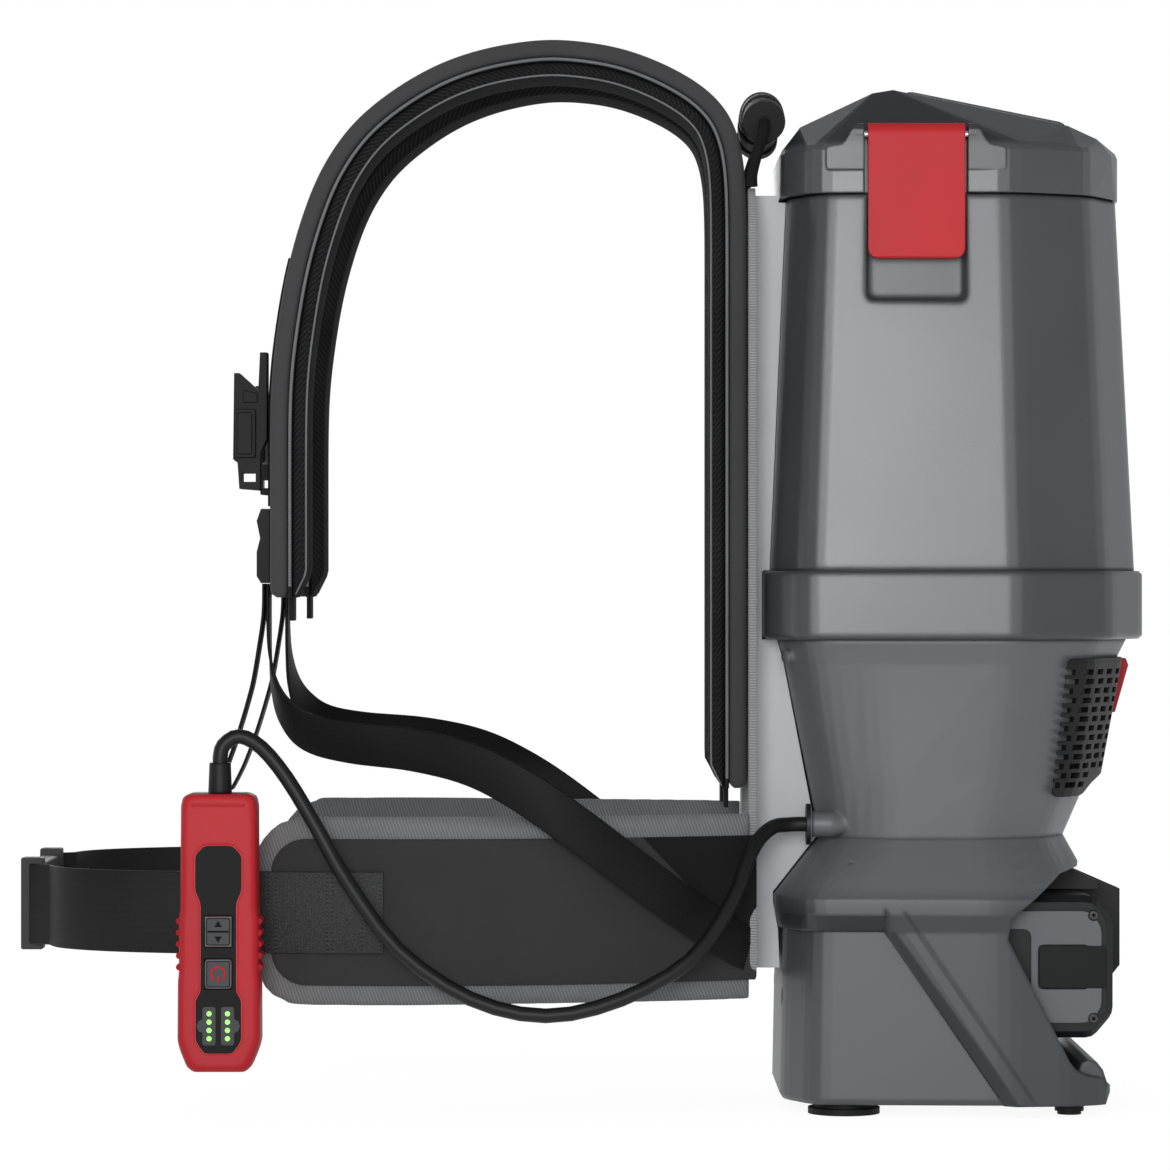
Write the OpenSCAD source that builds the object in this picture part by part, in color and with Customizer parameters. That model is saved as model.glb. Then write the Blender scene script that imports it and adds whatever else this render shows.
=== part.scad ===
// Cordless backpack vacuum cleaner with a padded harness, a hip belt and a wired remote.
// X runs from the wearer's chest (-) to the back of the machine (+), Y across, Z up.
// The origin is under the middle of the whole, at the height of the feet.

/* [Body] */
// Depth of the body at the foot of the canister, front to rear
body_len = 220; // [214:1:228]
// Width of the body over the collar band, side to side
body_w = 236; // [232:1:246]
// How far the collar band stands out at the front
band_out = 1.5; // [1:0.5:3]
// Height of the collar band
band_h = 40; // [36:1:46]
// Height of the dust canister above the band
can_h = 219; // [200:1:240]
// Height of the motor housing between waist and band
housing_h = 116; // [110:1:128]
// Height of the base from the feet to the waist
base_h = 153.7; // [148:0.1:164]
// Thickness of the moulded walls
wall = 3; // [2.4:0.2:3.6]
// Height of the feet
foot_h = 6.6; // [6:0.1:12]
// Diameter of the front feet
front_foot_d = 42; // [34:1:46]

/* [Lid] */
// Height of the lid's side wall above the seam
lid_wall_h = 29; // [27:1:36]
// Rise of the roof's peak above the side wall
lid_rise = 35; // [30:1:42]
// Half width of the flat deck along the middle of the roof
deck_half_w = 56; // [50:1:62]
// Bore of the hose inlet
hose_bore_d = 38.4; // [36:0.2:42]
// Outer diameter of the hose inlet's ring
hose_ring_d = 62; // [58:1:68]

/* [Latches] */
// Width of a lid latch
latch_w = 56; // [48:1:60]
// Length of a lid latch
latch_h = 80; // [72:1:84]
// Thickness of a latch's plate
latch_t = 4.6; // [4:0.2:5.4]
// Diameter of the latch's hinge pin
latch_pin_d = 4; // [3:0.5:5]

/* [Exhaust] */
// Rows of louvres on each side of the exhaust cover
louvre_rows = 13; // [9:1:14]
// Height of one louvre's slot
louvre_h = 3.2; // [2.4:0.2:3.8]
// Width of the red release tab
tab_w = 30; // [24:1:36]

/* [Batteries] */
// Length of a battery, in the direction that it slides
bat_len = 112; // [104:1:116]
// Width of a battery
bat_w = 78; // [72:1:82]
// Height of a battery
bat_h = 83; // [76:1:86]

/* [Harness] */
// Thickness of the back plate
plate_t = 4; // [3:0.5:5]
// Width of a shoulder strap
strap_w = 60; // [52:1:66]
// Clear space between the two shoulder straps at the back
strap_space = 12; // [8:1:20]
// Thickness of a shoulder strap's outer pad
strap_t = 9; // [8:0.5:12]
// Thickness of the strap's webbing core
core_t = 2.6; // [2:0.2:3.2]
// Thickness of the strap's mesh lining
mesh_t = 10; // [8:0.5:12]
// Height of the hip pads
hip_h = 108; // [98:1:114]
// Thickness of the hip pads
hip_t = 15; // [12:1:17]
// Width of the waist webbing
belt_w = 47; // [40:1:50]
// Width of the adjuster webbing
web_w = 25; // [20:1:27]
// Thickness of the carry handle's grip
grip_d = 25; // [21:1:27]

/* [Remote] */
// Width of the remote over its grips
remote_w = 49; // [46:1:52]
// Height of the remote
remote_h = 158; // [150:1:168]
// Thickness of the remote
remote_t = 27; // [24:1:30]
// Diameter of the remote's cord
cord_d = 8.6; // [7.6:0.2:9]

/* [Hidden] */
$fn = 48;

gap = 0.3;              // seat between neighbours that don't touch
run = 0.05;             // radial running clearance of a pin
front_x = 105.5;        // front of the body, just behind the collar band's face
z_base = foot_h;
z_waist = z_base + base_h;
z_band = z_waist + housing_h;
z_can = z_band + band_h;
z_seam = z_can + can_h;
z_wall = z_seam + lid_wall_h;
rear_x = front_x + body_len;
bw = body_w / 2;
mid_x = front_x + 0.5 * body_len;

band_x = front_x - band_out;    // front face of the collar band
web_t = 4.2;
frame_x = band_x - gap - web_t; // back face of the frame, against the harness plate

// ---- points and outlines ----
function unit(v) = v / norm(v);
function flip(p) = [for (i = [len(p) - 1:-1:0]) p[i]];
// Softens each corner of a closed outline, from t before it to t after it, in n steps
function soften(p, t, n) = let (m = len(p)) [for (i = [0:m - 1])
    let (b = p[i], q = b + t * unit(p[(i + m - 1) % m] - b), r = b + t * unit(p[(i + 1) % m] - b))
    for (k = [0:n]) let (w = k / n) (1 - w) * (1 - w) * q + 2 * w * (1 - w) * b + w * w * r];
// A smooth line through points, n steps from each to the next
function smooth(p, n) = let (m = len(p) - 1) concat([for (i = [0:m - 1])
    let (a = p[max(i - 1, 0)], b = p[i], c = p[i + 1], d = p[min(i + 2, m)])
    for (k = [0:n - 1]) let (w = k / n)
    0.5 * (2 * b + w * (c - a) + w * w * (2 * a - 5 * b + 4 * c - d)
    + w * w * w * (3 * b - a - 3 * c + d))], [p[m]]);
function along(p, i) = unit(p[min(i + 1, len(p) - 1)] - p[max(i - 1, 0)]);
// A flat line moved sideways by d, to its left
function beside(p, d) = [for (i = [0:len(p) - 1])
    let (t = along(p, i)) p[i] + d * [-t[1], t[0]]];
function band2(p, a, b) = concat(beside(p, a), flip(beside(p, b)));
function span(p) = len(p) < 2 ? 0
    : [for (i = [1:len(p) - 1]) norm(p[i] - p[i - 1])] * [for (i = [1:len(p) - 1]) 1];

// Body outline in plan: front flat, front corner, broad side, rear corner, rear flat
function plan(xf, xr, w, s = 0.95, m = 0.967, r = 0.78, q = 0.36) = let (l = xr - xf,
    h = [[xf, 0.62 * w], [xf + 0.09 * l, s * w], [xf + 0.27 * l, m * w],
        [xf + 0.67 * l, w], [xf + 0.89 * l, r * w], [xr, q * w]])
    soften(concat([for (p = h) [p[0], -p[1]]], flip(h)), 11, 3);
function lift(p, z) = [for (q = p) [q[0], q[1], z]];
function can_f(z) = front_x + 3 + 9.5 * (z - z_can) / can_h;
function can_r(z) = rear_x - 0.3 - 11 * (z - z_can) / can_h;
function can_w(z) = bw - 6 - 9 * (z - z_can) / can_h;
function can_plan(z, t) = plan(can_f(z) + t, can_r(z) - t, can_w(z) - t);
lid_x = can_f(z_seam) - 4;      // front face of the lid's wall
function lid_plan(t) = plan(lid_x + t, can_r(z_seam) + 1.2 - t,
    can_w(z_seam) + 3 - t);

// Motor housing: height, front, rear, half width, front corner, side, wall
z_lip = z_band - 14;
z_exh = z_waist + 16;
function hz(z, a, b, c) = z > z_lip ? b + (a - b) * (z - z_lip) / (z_band - z_lip)
    : b + (c - b) * (z_lip - z) / (z_lip - z_waist);
function hous_f(z) = front_x + hz(z, 7.5, 11.5, 31.5);
z_knee = z_waist + 36;          // where the rear wall turns in towards the waist
function hous_r(z) = rear_x - (z > z_lip ? hz(z, 5, 12, 42) : z > z_knee
    ? 12 + 14.5 * (z_lip - z) / (z_lip - z_knee) : 26.5 + 15.5 * (z_knee - z) / (z_knee - z_waist));
function hous_w(z) = bw - hz(z, 5, 9, 25);
function hous_s(z) = hz(z, 0.95, 0.94, 0.84);
function hous_m(z) = hz(z, 0.967, 0.97, 1);
function hous_plan(z, t) = plan(hous_f(z) + t, hous_r(z) - t, hous_w(z) - t,
    hous_s(z), hous_m(z));

// ---- solids from outlines ----
module loft(rings, turn = false) {
    n = len(rings[0]);
    m = len(rings);
    ones = [for (i = [1:n]) 1 / n];
    pts = concat([for (r = rings) each r], [ones * rings[0], ones * rings[m - 1]]);
    sides = [for (j = [0:m - 2]) for (i = [0:n - 1])
        let (a = j * n + i, b = j * n + (i + 1) % n)
        each (turn ? [[a, a + n, b], [b, a + n, b + n]] : [[a, a + n, b + n], [a, b + n, b]])];
    ends = [for (i = [0:n - 1]) let (k = (i + 1) % n)
        each [[m * n, i, k], [m * n + 1, (m - 1) * n + k, (m - 1) * n + i]]];
    polyhedron(points = pts, faces = concat(sides, ends));
}
// A flat outline in X and Z, given depth in Y
module slab_y(y0, y1) {
    translate([0, y1, 0]) rotate([90, 0, 0]) linear_extrude(y1 - y0) children();
}
// A flat outline in Y and Z, given depth in X
module slab_x(x0, x1) {
    translate([x0, 0, 0]) rotate([90, 0, 90]) linear_extrude(x1 - x0) children();
}
module box(a, b) {
    translate(a) cube(b - a);
}
module both_sides() {
    children();
    mirror([0, 1, 0]) children();
}
// A round tube along a line that never runs along Y
module tube(p, d, sides) {
    loft([for (i = [0:len(p) - 1]) let (t = along(p, i), u = unit(cross([0, 1, 0], t)),
        v = cross(t, u)) [for (k = [0:sides - 1]) let (a = 360 * k / sides)
        p[i] + d / 2 * (cos(a) * u + sin(a) * v)]]);
}
// A flat webbing that may twist: each point carries its place and the way its width lies
module ribbon(p, w, t) {
    q = [for (s = p) [s[0], s[1], s[2]]];
    loft([for (i = [0:len(p) - 1]) let (d = along(q, i), r = [p[i][3], p[i][4], p[i][5]],
        u = unit(r - (r * d) * d), v = cross(d, u))
        [for (c = [[-1, -1], [1, -1], [1, 1], [-1, 1]]) q[i] + c[0] * w / 2 * u + c[1] * t / 2 * v]]);
}

// ---- dust canister ----
lx = mid_x - 24.5;              // middle of the latches
pocket_w = latch_w + 4;         // recess that a latch lies in
pin_z = z_wall + 4.6;
hinge_y = can_w(z_seam) + 0.2;  // distance of a latch's pin from the middle plane
barrel_r = 6.4;
floor_y = hinge_y - barrel_r - 1;
latch_low = pin_z + barrel_r + 1.4 - latch_h;
pocket_low = latch_low - 25;
module latch_pocket(z0, z1) {
    for (s = [-1, 1])
        scale([1, s, 1]) box([lx - pocket_w / 2, floor_y, z0], [lx + pocket_w / 2, bw + 20, z1]);
}
function pocket_ring(y, t) = [for (q = soften([[lx - pocket_w / 2 + t, z_seam + 5],
    [lx - pocket_w / 2 + t, pocket_low + t], [lx + pocket_w / 2 - t, pocket_low + t],
    [lx + pocket_w / 2 - t, z_seam + 5]], 5, 4)) [q[0], y, q[1]]];
module canister() {
    color("#77787b") {
        difference() {
            loft([lift(can_plan(z_can, 0), z_can), lift(can_plan(z_seam, 0), z_seam - 0.3)]);
            difference() {
                loft([lift(can_plan(z_can, wall), z_can + 4),
                    lift(can_plan(z_seam, wall), z_seam + 1)]);
                // the wall stands further in behind the latches and their finger room
                both_sides()
                    box([lx - pocket_w / 2 - wall, floor_y - wall, pocket_low - wall],
                        [lx + pocket_w / 2 + wall, bw, z_seam + 2]);
            }
            // latch recess, whose sides lean out to the surface
            both_sides() loft([pocket_ring(bw + 20, 0), pocket_ring(can_w(z_seam) + 1, 0),
                pocket_ring(floor_y, 3)]);
            // shadow line under the lid
            difference() {
                translate([mid_x, 0, z_seam - 1.3]) linear_extrude(2) square(300, center = true);
                translate([0, 0, z_seam - 2]) linear_extrude(4) polygon(can_plan(z_seam, wall / 2));
            }
            translate([mid_x, 0, z_can - 1]) cylinder(d = filter_d + 2, h = 8);
        }
        // the rib that a latch's nose hooks under
        both_sides() box([lx - catch_w / 2, floor_y - 0.5, catch_z],
            [lx + catch_w / 2, catch_y, catch_z + 4]);
    }
}
catch_w = latch_w - 12;
catch_y = floor_y + 2.2;
catch_z = latch_low + 26;

// ---- collar band between canister and motor housing ----
module collar_band() {
    color("#6d6f72") difference() {
        loft([for (s = [[z_band, 2], [z_band + 2, 0], [z_can - 2, 0], [z_can, 2]])
            lift(plan(band_x + s[1], rear_x + 4.2 - s[1], bw - s[1]), s[0])]);
        translate([0, 0, z_band - 1]) linear_extrude(band_h + 2)
            polygon(plan(front_x + 8, rear_x - 8, bw - 10));
    }
}

// ---- motor housing ----
gland_y = -76;
gland_z = z_waist + 8;
exh_w = 60;                     // half width of the exhaust window
exh_z0 = z_waist + 40;
exh_z1 = z_lip - 8;
module motor_housing() {
    color("#7c7e81") {
        difference() {
            union() {
                loft([for (z = [z_waist, z_knee, z_lip, z_band]) lift(hous_plan(z, 0), z)]);
                // sheath of the remote's cable, pointed where it fades into the wall
                translate([gland_x + 3, gland_y, gland_z]) rotate([0, 90, 0]) {
                    cylinder(d = 15, h = 12);
                    translate([0, 0, 12]) cylinder(d1 = 15, d2 = 9, h = 10);
                    translate([0, 0, 22]) cylinder(d1 = 9, d2 = 2, h = 6);
                }
                // small pegs on the front corners, under the band
                both_sides() translate([hous_f(z_lip + 4) + 4, 0.7 * hous_w(z_lip), z_lip + 4])
                    rotate([0, -90, -30]) translate([0, 0, -4]) cylinder(d = 7.5, h = 8.5);
            }
            loft([lift(hous_plan(z_waist, wall), z_waist - 1),
                lift(hous_plan(z_knee, wall), z_knee), lift(hous_plan(z_lip, wall), z_lip),
                lift(plan(front_x + 18, rear_x - 15, bw - 16), z_band + 1)]);
            box([rear_x - 60, -exh_w, exh_z0], [rear_x + 5, exh_w, exh_z1]);
        }
    }
}
gland_x = 128.5;

// ---- base: front box and rear shell with its two legs ----
z_ridge = z_waist - 34;
z_under = z_waist - 53;
leg_in = bw - 23;
box_w = bw - 13;
bay_x = rear_x - 139;           // front wall of the battery bay
bay_z = z_base + 20;            // floor of the battery bay
leg_x = rear_x - 153;           // where the leg's front edge leaves the shoulder
function base_plan(xf, xr, w) = plan(xf, xr, w, r = 0.95, q = 0.84);
module at_screws() {
    both_sides() translate([front_x + 7.5, 56, z_base + 60]) rotate([0, 90, 0]) children();
}
module base_box(t) {
    loft([lift(base_plan(front_x + 10 - t, rear_x - 18, box_w - 1.7 + t), z_base - t),
        lift(base_plan(front_x + 8.3 - t, rear_x - 18, box_w + t), z_base + 3),
        lift(base_plan(front_x + 10.3 - t, rear_x - 18, box_w - 1 + t), z_under + 6),
        lift(base_plan(front_x + 24 - t, rear_x - 30, box_w - 10 + t), z_waist - 14 + t)]);
}
// side view of the base: front box and floor, then the cheek beside the battery bay
box_side = [[front_x, z_base], [rear_x - 40, z_base], [rear_x - 40, bay_z], [bay_x, bay_z],
    [bay_x, z_waist - 14], [front_x, z_waist - 14]];
function cheek_side(t) = [[bay_x - 1, bay_z - 1], [rear_x - 66 + t, bay_z - 1],
    [rear_x - 66 + t, bay_z + t], [bay_x + t, z_under - 8 + t], [bay_x - 1, z_under - 8 + t]];
module base_housing() {
    color("#85878a") difference() {
        intersection() {
            base_box(0);
            union() {
                slab_y(-bw, bw) polygon(box_side);
                both_sides() slab_y(leg_in, bw) polygon(cheek_side(0));
            }
        }
        // hollow of the front box
        box([front_x + 10 + 4 * wall, -box_w + 6 * wall, z_base + wall],
            [bay_x - wall, box_w - 6 * wall, z_waist - 14 - wall]);
        at_screws() {
            cylinder(d = screw_d + 0.8, h = 4.3);
            cylinder(d = screw_d / 2 + 2 * run, h = 10.4);
        }
    }
}
// side view of the rear shell's shoulder, then of its swept leg and toe
shoulder_side = [[front_x - 10, z_waist], [leg_x, z_waist], [leg_x, z_under], [front_x - 10, z_under]];
leg_side = [[leg_x, z_waist], [rear_x - 38, z_waist], [rear_x - 31, z_waist - 9],
    [rear_x - 38, z_waist - 17], [rear_x - 50, z_waist - 20], [rear_x - 80, z_ridge - 11],
    [rear_x - 82, z_under - 4], [rear_x - 46, z_base + 26], [rear_x - 42, z_base + 20.5],
    [rear_x - 36, z_base + 17.5], [rear_x - 27, z_base + 15.5], [rear_x - 21, z_base + 11],
    [rear_x - 21, z_base + 7], [rear_x - 24, z_base], [rear_x - 84, z_base], [leg_x, z_under]];
// the bar between the two toes, with its rounded top
bar_side = [[rear_x - 40 + gap, z_base], [rear_x - 40 + gap, z_base + 19], [rear_x - 38, z_base + 24],
    [rear_x - 34, z_base + 26], [rear_x - 29, z_base + 24.5], [rear_x - 25.5, z_base + 20],
    [rear_x - 23, z_base + 12], [rear_x - 25, z_base]];
// from the ridge up to the waist, where the shell takes the motor housing's outline
shell_top = [for (k = [0:4]) let (t = k / 4, u = 1 - t, z = u * z_ridge + t * z_waist)
    lift(plan(u * (front_x + 5) + t * hous_f(z_waist), u * (rear_x - 27) + t * hous_r(z_waist),
    u * (bw - 2) + t * hous_w(z_waist), u * 0.95 + t * hous_s(z_waist),
    u * 0.967 + t * hous_m(z_waist), u * 0.95 + t * 0.78, u * 0.84 + t * 0.36), z)];
module rear_shell() {
    sweep_a = atan2(leg_x - rear_x + 84, z_under - z_base);
    color("#5d6063") difference() {
        union() {
            intersection() {
                loft(concat([lift(base_plan(front_x + 8, rear_x - 24, box_w + 1), z_under - 1),
                    lift(base_plan(front_x + 5.5, rear_x - 26, bw - 2), z_ridge - 9)], shell_top));
                slab_y(-bw, bw) polygon(shoulder_side);
            }
            intersection() {
                loft(concat([lift(base_plan(front_x + 4, rear_x - 19, bw - 6), z_base - 1),
                    lift(base_plan(front_x + 8, rear_x - 22, bw - 5), z_under),
                    lift(base_plan(front_x + 5.5, rear_x - 26, bw - 2), z_ridge - 9)], shell_top));
                slab_y(-bw, bw) polygon(leg_side);
            }
            slab_y(-leg_in - 0.5, leg_in + 0.5) polygon(bar_side);
        }
        // inside: under the shoulder, between the legs, and above the low rear bar
        slab_y(-leg_in, leg_in) polygon([[leg_x - 20, z_base - 1], [leg_x - 20, z_waist - 13.7],
            [bat_x0 + 1, z_waist - 13.7], [bat_x0 + 1, bat_z0 + bat_h + 1],
            [rear_x - 15, bat_z0 + bat_h + 1], [rear_x - 15, z_base + 27],
            [rear_x - 40 + gap, z_base + 27], [rear_x - 40 + gap, z_base - 1]]);
        slab_y(-40 - gap, 40 + gap) polygon([[bat_x0, bat_z0 + bat_h], [rear_x - 15, bat_z0 + bat_h],
            [rear_x - 15, z_waist - 13.7], [bat_x0, z_waist - 13.7]]);
        intersection() {
            base_box(gap);
            slab_y(-bw, bw) polygon([[0, z_base - 5], [rear_x - 40 + gap, z_base - 5],
                [rear_x - 40 + gap, bay_z + gap], [bay_x + gap, bay_z + gap], [bay_x + gap, z_waist],
                [0, z_waist]]);
        }
        both_sides() intersection() {
            base_box(gap);
            slab_y(leg_in - 1, bw) polygon(cheek_side(gap));
        }
        // long chamfer down the front edge of each leg
        both_sides() intersection() {
            translate([rear_x - 84, box_w + 1, z_base]) rotate([0, sweep_a, 0])
                rotate([0, 0, 39]) translate([-60, 0, -40]) cube([120, 60, 260]);
            box([leg_x, 0, z_base - 1], [rear_x + 20, bw + 20, z_waist]);
        }
        // groove beside the chamfer
        both_sides() intersection() {
            translate([rear_x - 84, 0, z_base]) rotate([0, sweep_a, 0])
                box([15.5, bw - 9, -40], [16.7, bw + 20, 260]);
            difference() {
                box([leg_x, 0, z_base - 1], [rear_x, bw + 20, z_ridge - 7]);
                loft([lift(base_plan(front_x + 4.9, rear_x - 19.9, bw - 6.9), z_base - 2),
                    lift(base_plan(front_x + 8.9, rear_x - 22.9, bw - 5.9), z_under),
                    lift(base_plan(front_x + 6.4, rear_x - 26.9, bw - 2.9), z_ridge - 9),
                    lift(base_plan(front_x + 6, rear_x - 27.9, bw - 2.9), z_ridge)]);
            }
        }
        // wiring way up into the motor housing
        translate([mid_x, 0, z_waist - 20]) cylinder(d = 60, h = 40);
    }
}
module feet() {
    color("#1b1b1c") both_sides() {
        translate([front_x + 45, 78, 0]) {
            cylinder(d = front_foot_d, h = foot_h - 3);
            cylinder(d = front_foot_d - 8, h = foot_h);
        }
        translate([rear_x - 44, 84, 0]) {
            cylinder(d = 14, h = foot_h);
            translate([0, 0, 2]) cylinder(d = 17, h = foot_h - 2);
        }
    }
}

// ---- what lies inside the body ----
filter_d = 116;
module bulkhead() {
    color("#3b3d40") difference() {
        translate([0, 0, z_band]) linear_extrude(4) polygon(plan(front_x + 8.4, rear_x - 8.4, bw - 10.4));
        translate([mid_x, 0, z_band - 1]) cylinder(d = 84, h = 6);
    }
}
module motor() {
    color("#b9bbbd") translate([mid_x, 0, z_band]) rotate_extrude() polygon([[12, 0], [56, 0],
        [58, -3], [58, -34], [54, -38], [42, -38], [42, -76], [36, -80], [0, -80], [0, -14],
        [12, -14]]);
}
module premotor_filter() {
    color("#e9e9e6") translate([mid_x, 0, z_band + 4]) difference() {
        cylinder(d = filter_d, h = band_h - 1);
        translate([0, 0, -1]) cylinder(d = 60, h = 14);
    }
}
module filter_grid() {
    color("#2c2d2f") translate([mid_x, 0, z_can + 4]) linear_extrude(4) {
        ring_2d(filter_d + 22, filter_d - 6);
        for (i = [0:3])
            rotate(45 * i) square([filter_d - 2, 3], center = true);
        ring_2d(62, 56);
    }
}
module ring_2d(d1, d0) {
    difference() {
        circle(d = d1);
        circle(d = d0);
    }
}
control_h = 70;
module control_box() {
    // midway between the front wall and the wall of the battery bay
    x = (front_x + 10 + 3 * wall + bay_x) / 2;
    color("#26362c") box([x - 14, -45, z_base + wall], [x + 14, 45, z_base + wall + control_h]);
}

// ---- lid ----
ridge_x = front_x + 75;
deck_x1 = rear_x - 42;
peak_z = z_wall + lid_rise;
deck_slope = atan2(20.5, 100);
// side view of the roof over the deck, from the front wall over the peak to the rear wall
function deck_side(t) = [[lid_x + 12 + t, z_wall + 13 - t], [ridge_x - 12, peak_z - 2 - t],
    [ridge_x, peak_z - t], [deck_x1, peak_z - t - (deck_x1 - ridge_x) * tan(deck_slope)],
    [rear_x - 25 - t, z_wall + 6 - t], [rear_x - 16.5 - t, z_wall - 4 - t]];
module roof(t) {
    hull() {
        loft([lift(lid_plan(t), z_seam), lift(lid_plan(t), z_wall - 4 - t),
            lift(lid_plan(t + 1.2), z_wall - 1 - t), lift(lid_plan(t + 4), z_wall + 1 - t)]);
        slab_y(-deck_half_w + t, deck_half_w - t)
            polygon(concat(deck_side(t), [[mid_x, z_wall - 5]]));
    }
}
port_x = mid_x + 5;
port_z = peak_z - (port_x - ridge_x) * tan(deck_slope);
module at_port() {
    translate([port_x, 0, port_z]) rotate([0, deck_slope, 0]) children();
}
skirt_t = 2.4;
module lid() {
    color("#4a4c4f") difference() {
        union() {
            roof(0);
            // raised deck along the middle of the roof
            slab_y(-44, 44) polygon(soften([[ridge_x + 3, peak_z - 4], [ridge_x + 10, peak_z + 0.5],
                [deck_x1 - 1, peak_z + 3 - (deck_x1 - ridge_x) * tan(deck_slope)],
                [deck_x1 + 8, z_wall - 2], [ridge_x + 20, z_wall + 2]], 3, 2));
            // cheeks that hold the latch pins
            both_sides() for (s = [-1, 1]) translate([lx, 0, 0]) scale([s, 1, 1])
                intersection() {
                    slab_y(hinge_y - 22, hinge_y + 3) polygon(soften([
                        [pocket_w / 2 - 1, z_wall - 16], [pocket_w / 2 + 22, z_wall - 16],
                        [pocket_w / 2 + 22, z_wall - 3], [pocket_w / 2 + 12, z_wall - 1],
                        [pocket_w / 2 + 5, pin_z + 6.5], [pocket_w / 2 - 1, pin_z + 6.5]], 2, 2));
                    slab_x(0, 90) polygon([[hinge_y - 16, z_wall - 18], [hinge_y + 2.4, z_wall - 16],
                        [hinge_y + 3, z_wall - 3], [hinge_y + 2.6, pin_z + 3],
                        [hinge_y, pin_z + 6], [hinge_y - 6, pin_z + 7], [hinge_y - 22, pin_z + 7]]);
                }
        }
        difference() {
            roof(wall);
            both_sides() box([lx - pocket_w / 2 - 8, floor_y - wall, z_seam - 1],
                [lx + pocket_w / 2 + 8, bw + 5, peak_z]);
        }
        latch_pocket(z_seam - 1, peak_z);
        both_sides() translate([lx - pocket_w / 2 - 5, hinge_y, pin_z]) rotate([0, 90, 0])
            cylinder(d = latch_pin_d + 2 * run, h = pocket_w + 10);
        at_port() translate([0, 0, -40]) cylinder(d = hose_ring_d - 10 + 2 * gap, h = 60);
        at_port() translate([0, 0, -4]) cylinder(d = hose_ring_d + 2 * gap, h = 30);
        // seat of the gasket
        translate([0, 0, z_seam - 1]) linear_extrude(1 + gasket_h) gasket_line(0.2);
    }
}
gasket_h = 2.4;
// the ring follows the rim, and steps in behind the two latch recesses
module gasket_line(g) {
    difference() {
        polygon(lid_plan(3.3 - g));
        polygon(lid_plan(7.4 + g));
        for (s = [-1, 1]) translate([lx, s * (floor_y + 28.4 - g)])
            square([pocket_w + 2 - 2 * g, 60], center = true);
    }
    for (s = [-1, 1]) translate([lx, s * (floor_y - 3.6)])
        square([pocket_w + 10 + 2 * g, 4 + 2 * g], center = true);
}
module lid_gasket() {
    color("#1f1f20") translate([0, 0, z_seam - 0.3]) linear_extrude(gasket_h + 0.3) gasket_line(0);
}
module hose_port() {
    color("#2a2b2d") at_port() difference() {
        union() {
            translate([0, 0, -3.7]) cylinder(d = hose_ring_d, h = 6.7);
            translate([0, 0, -34]) cylinder(d = hose_ring_d - 10, h = 32);
        }
        translate([0, 0, -40]) cylinder(d = hose_bore_d, h = 50);
    }
}
// One latch, on the +Y side: a rolled top on the pin, a flat plate and a nose near its foot
module latch() {
    out_y = hinge_y + barrel_r;
    nose_z = catch_z - 4;
    difference() {
        intersection() {
            union() {
                slab_x(lx - latch_w / 2, lx + latch_w / 2) union() {
                    translate([hinge_y, pin_z]) circle(barrel_r);
                    polygon([[hinge_y, pin_z + barrel_r], [hinge_y - 2, pin_z],
                        [out_y - latch_t, pin_z - 8], [out_y - latch_t, latch_low],
                        [out_y - 1, latch_low], [out_y, latch_low + 1], [out_y, pin_z]]);
                }
                slab_x(lx - catch_w / 2, lx + catch_w / 2) polygon([[out_y - latch_t + 1, nose_z + 5],
                    [catch_y + 0.25, nose_z + 3], [catch_y + 0.25, nose_z],
                    [out_y - latch_t + 1, nose_z - 4]]);
            }
            slab_y(0, bw + 20) polygon(soften([[lx - latch_w / 2 - 0.01, latch_low],
                [lx + latch_w / 2 + 0.01, latch_low], [lx + latch_w / 2 + 0.01, pin_z + 20],
                [lx - latch_w / 2 - 0.01, pin_z + 20]], 7, 5));
        }
        translate([lx - latch_w, hinge_y, pin_z]) rotate([0, 90, 0])
            cylinder(d = latch_pin_d + 2 * run, h = 2 * latch_w);
    }
}
module latch_left() {
    color("#c23a41") mirror([0, 1, 0]) latch();
}
module latch_right() {
    color("#c23a41") latch();
}
module latch_pins() {
    color("#c9cacc") both_sides() translate([lx - pocket_w / 2 - 4.5, hinge_y, pin_z])
        rotate([0, 90, 0]) cylinder(d = latch_pin_d, h = pocket_w + 9);
}

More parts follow.
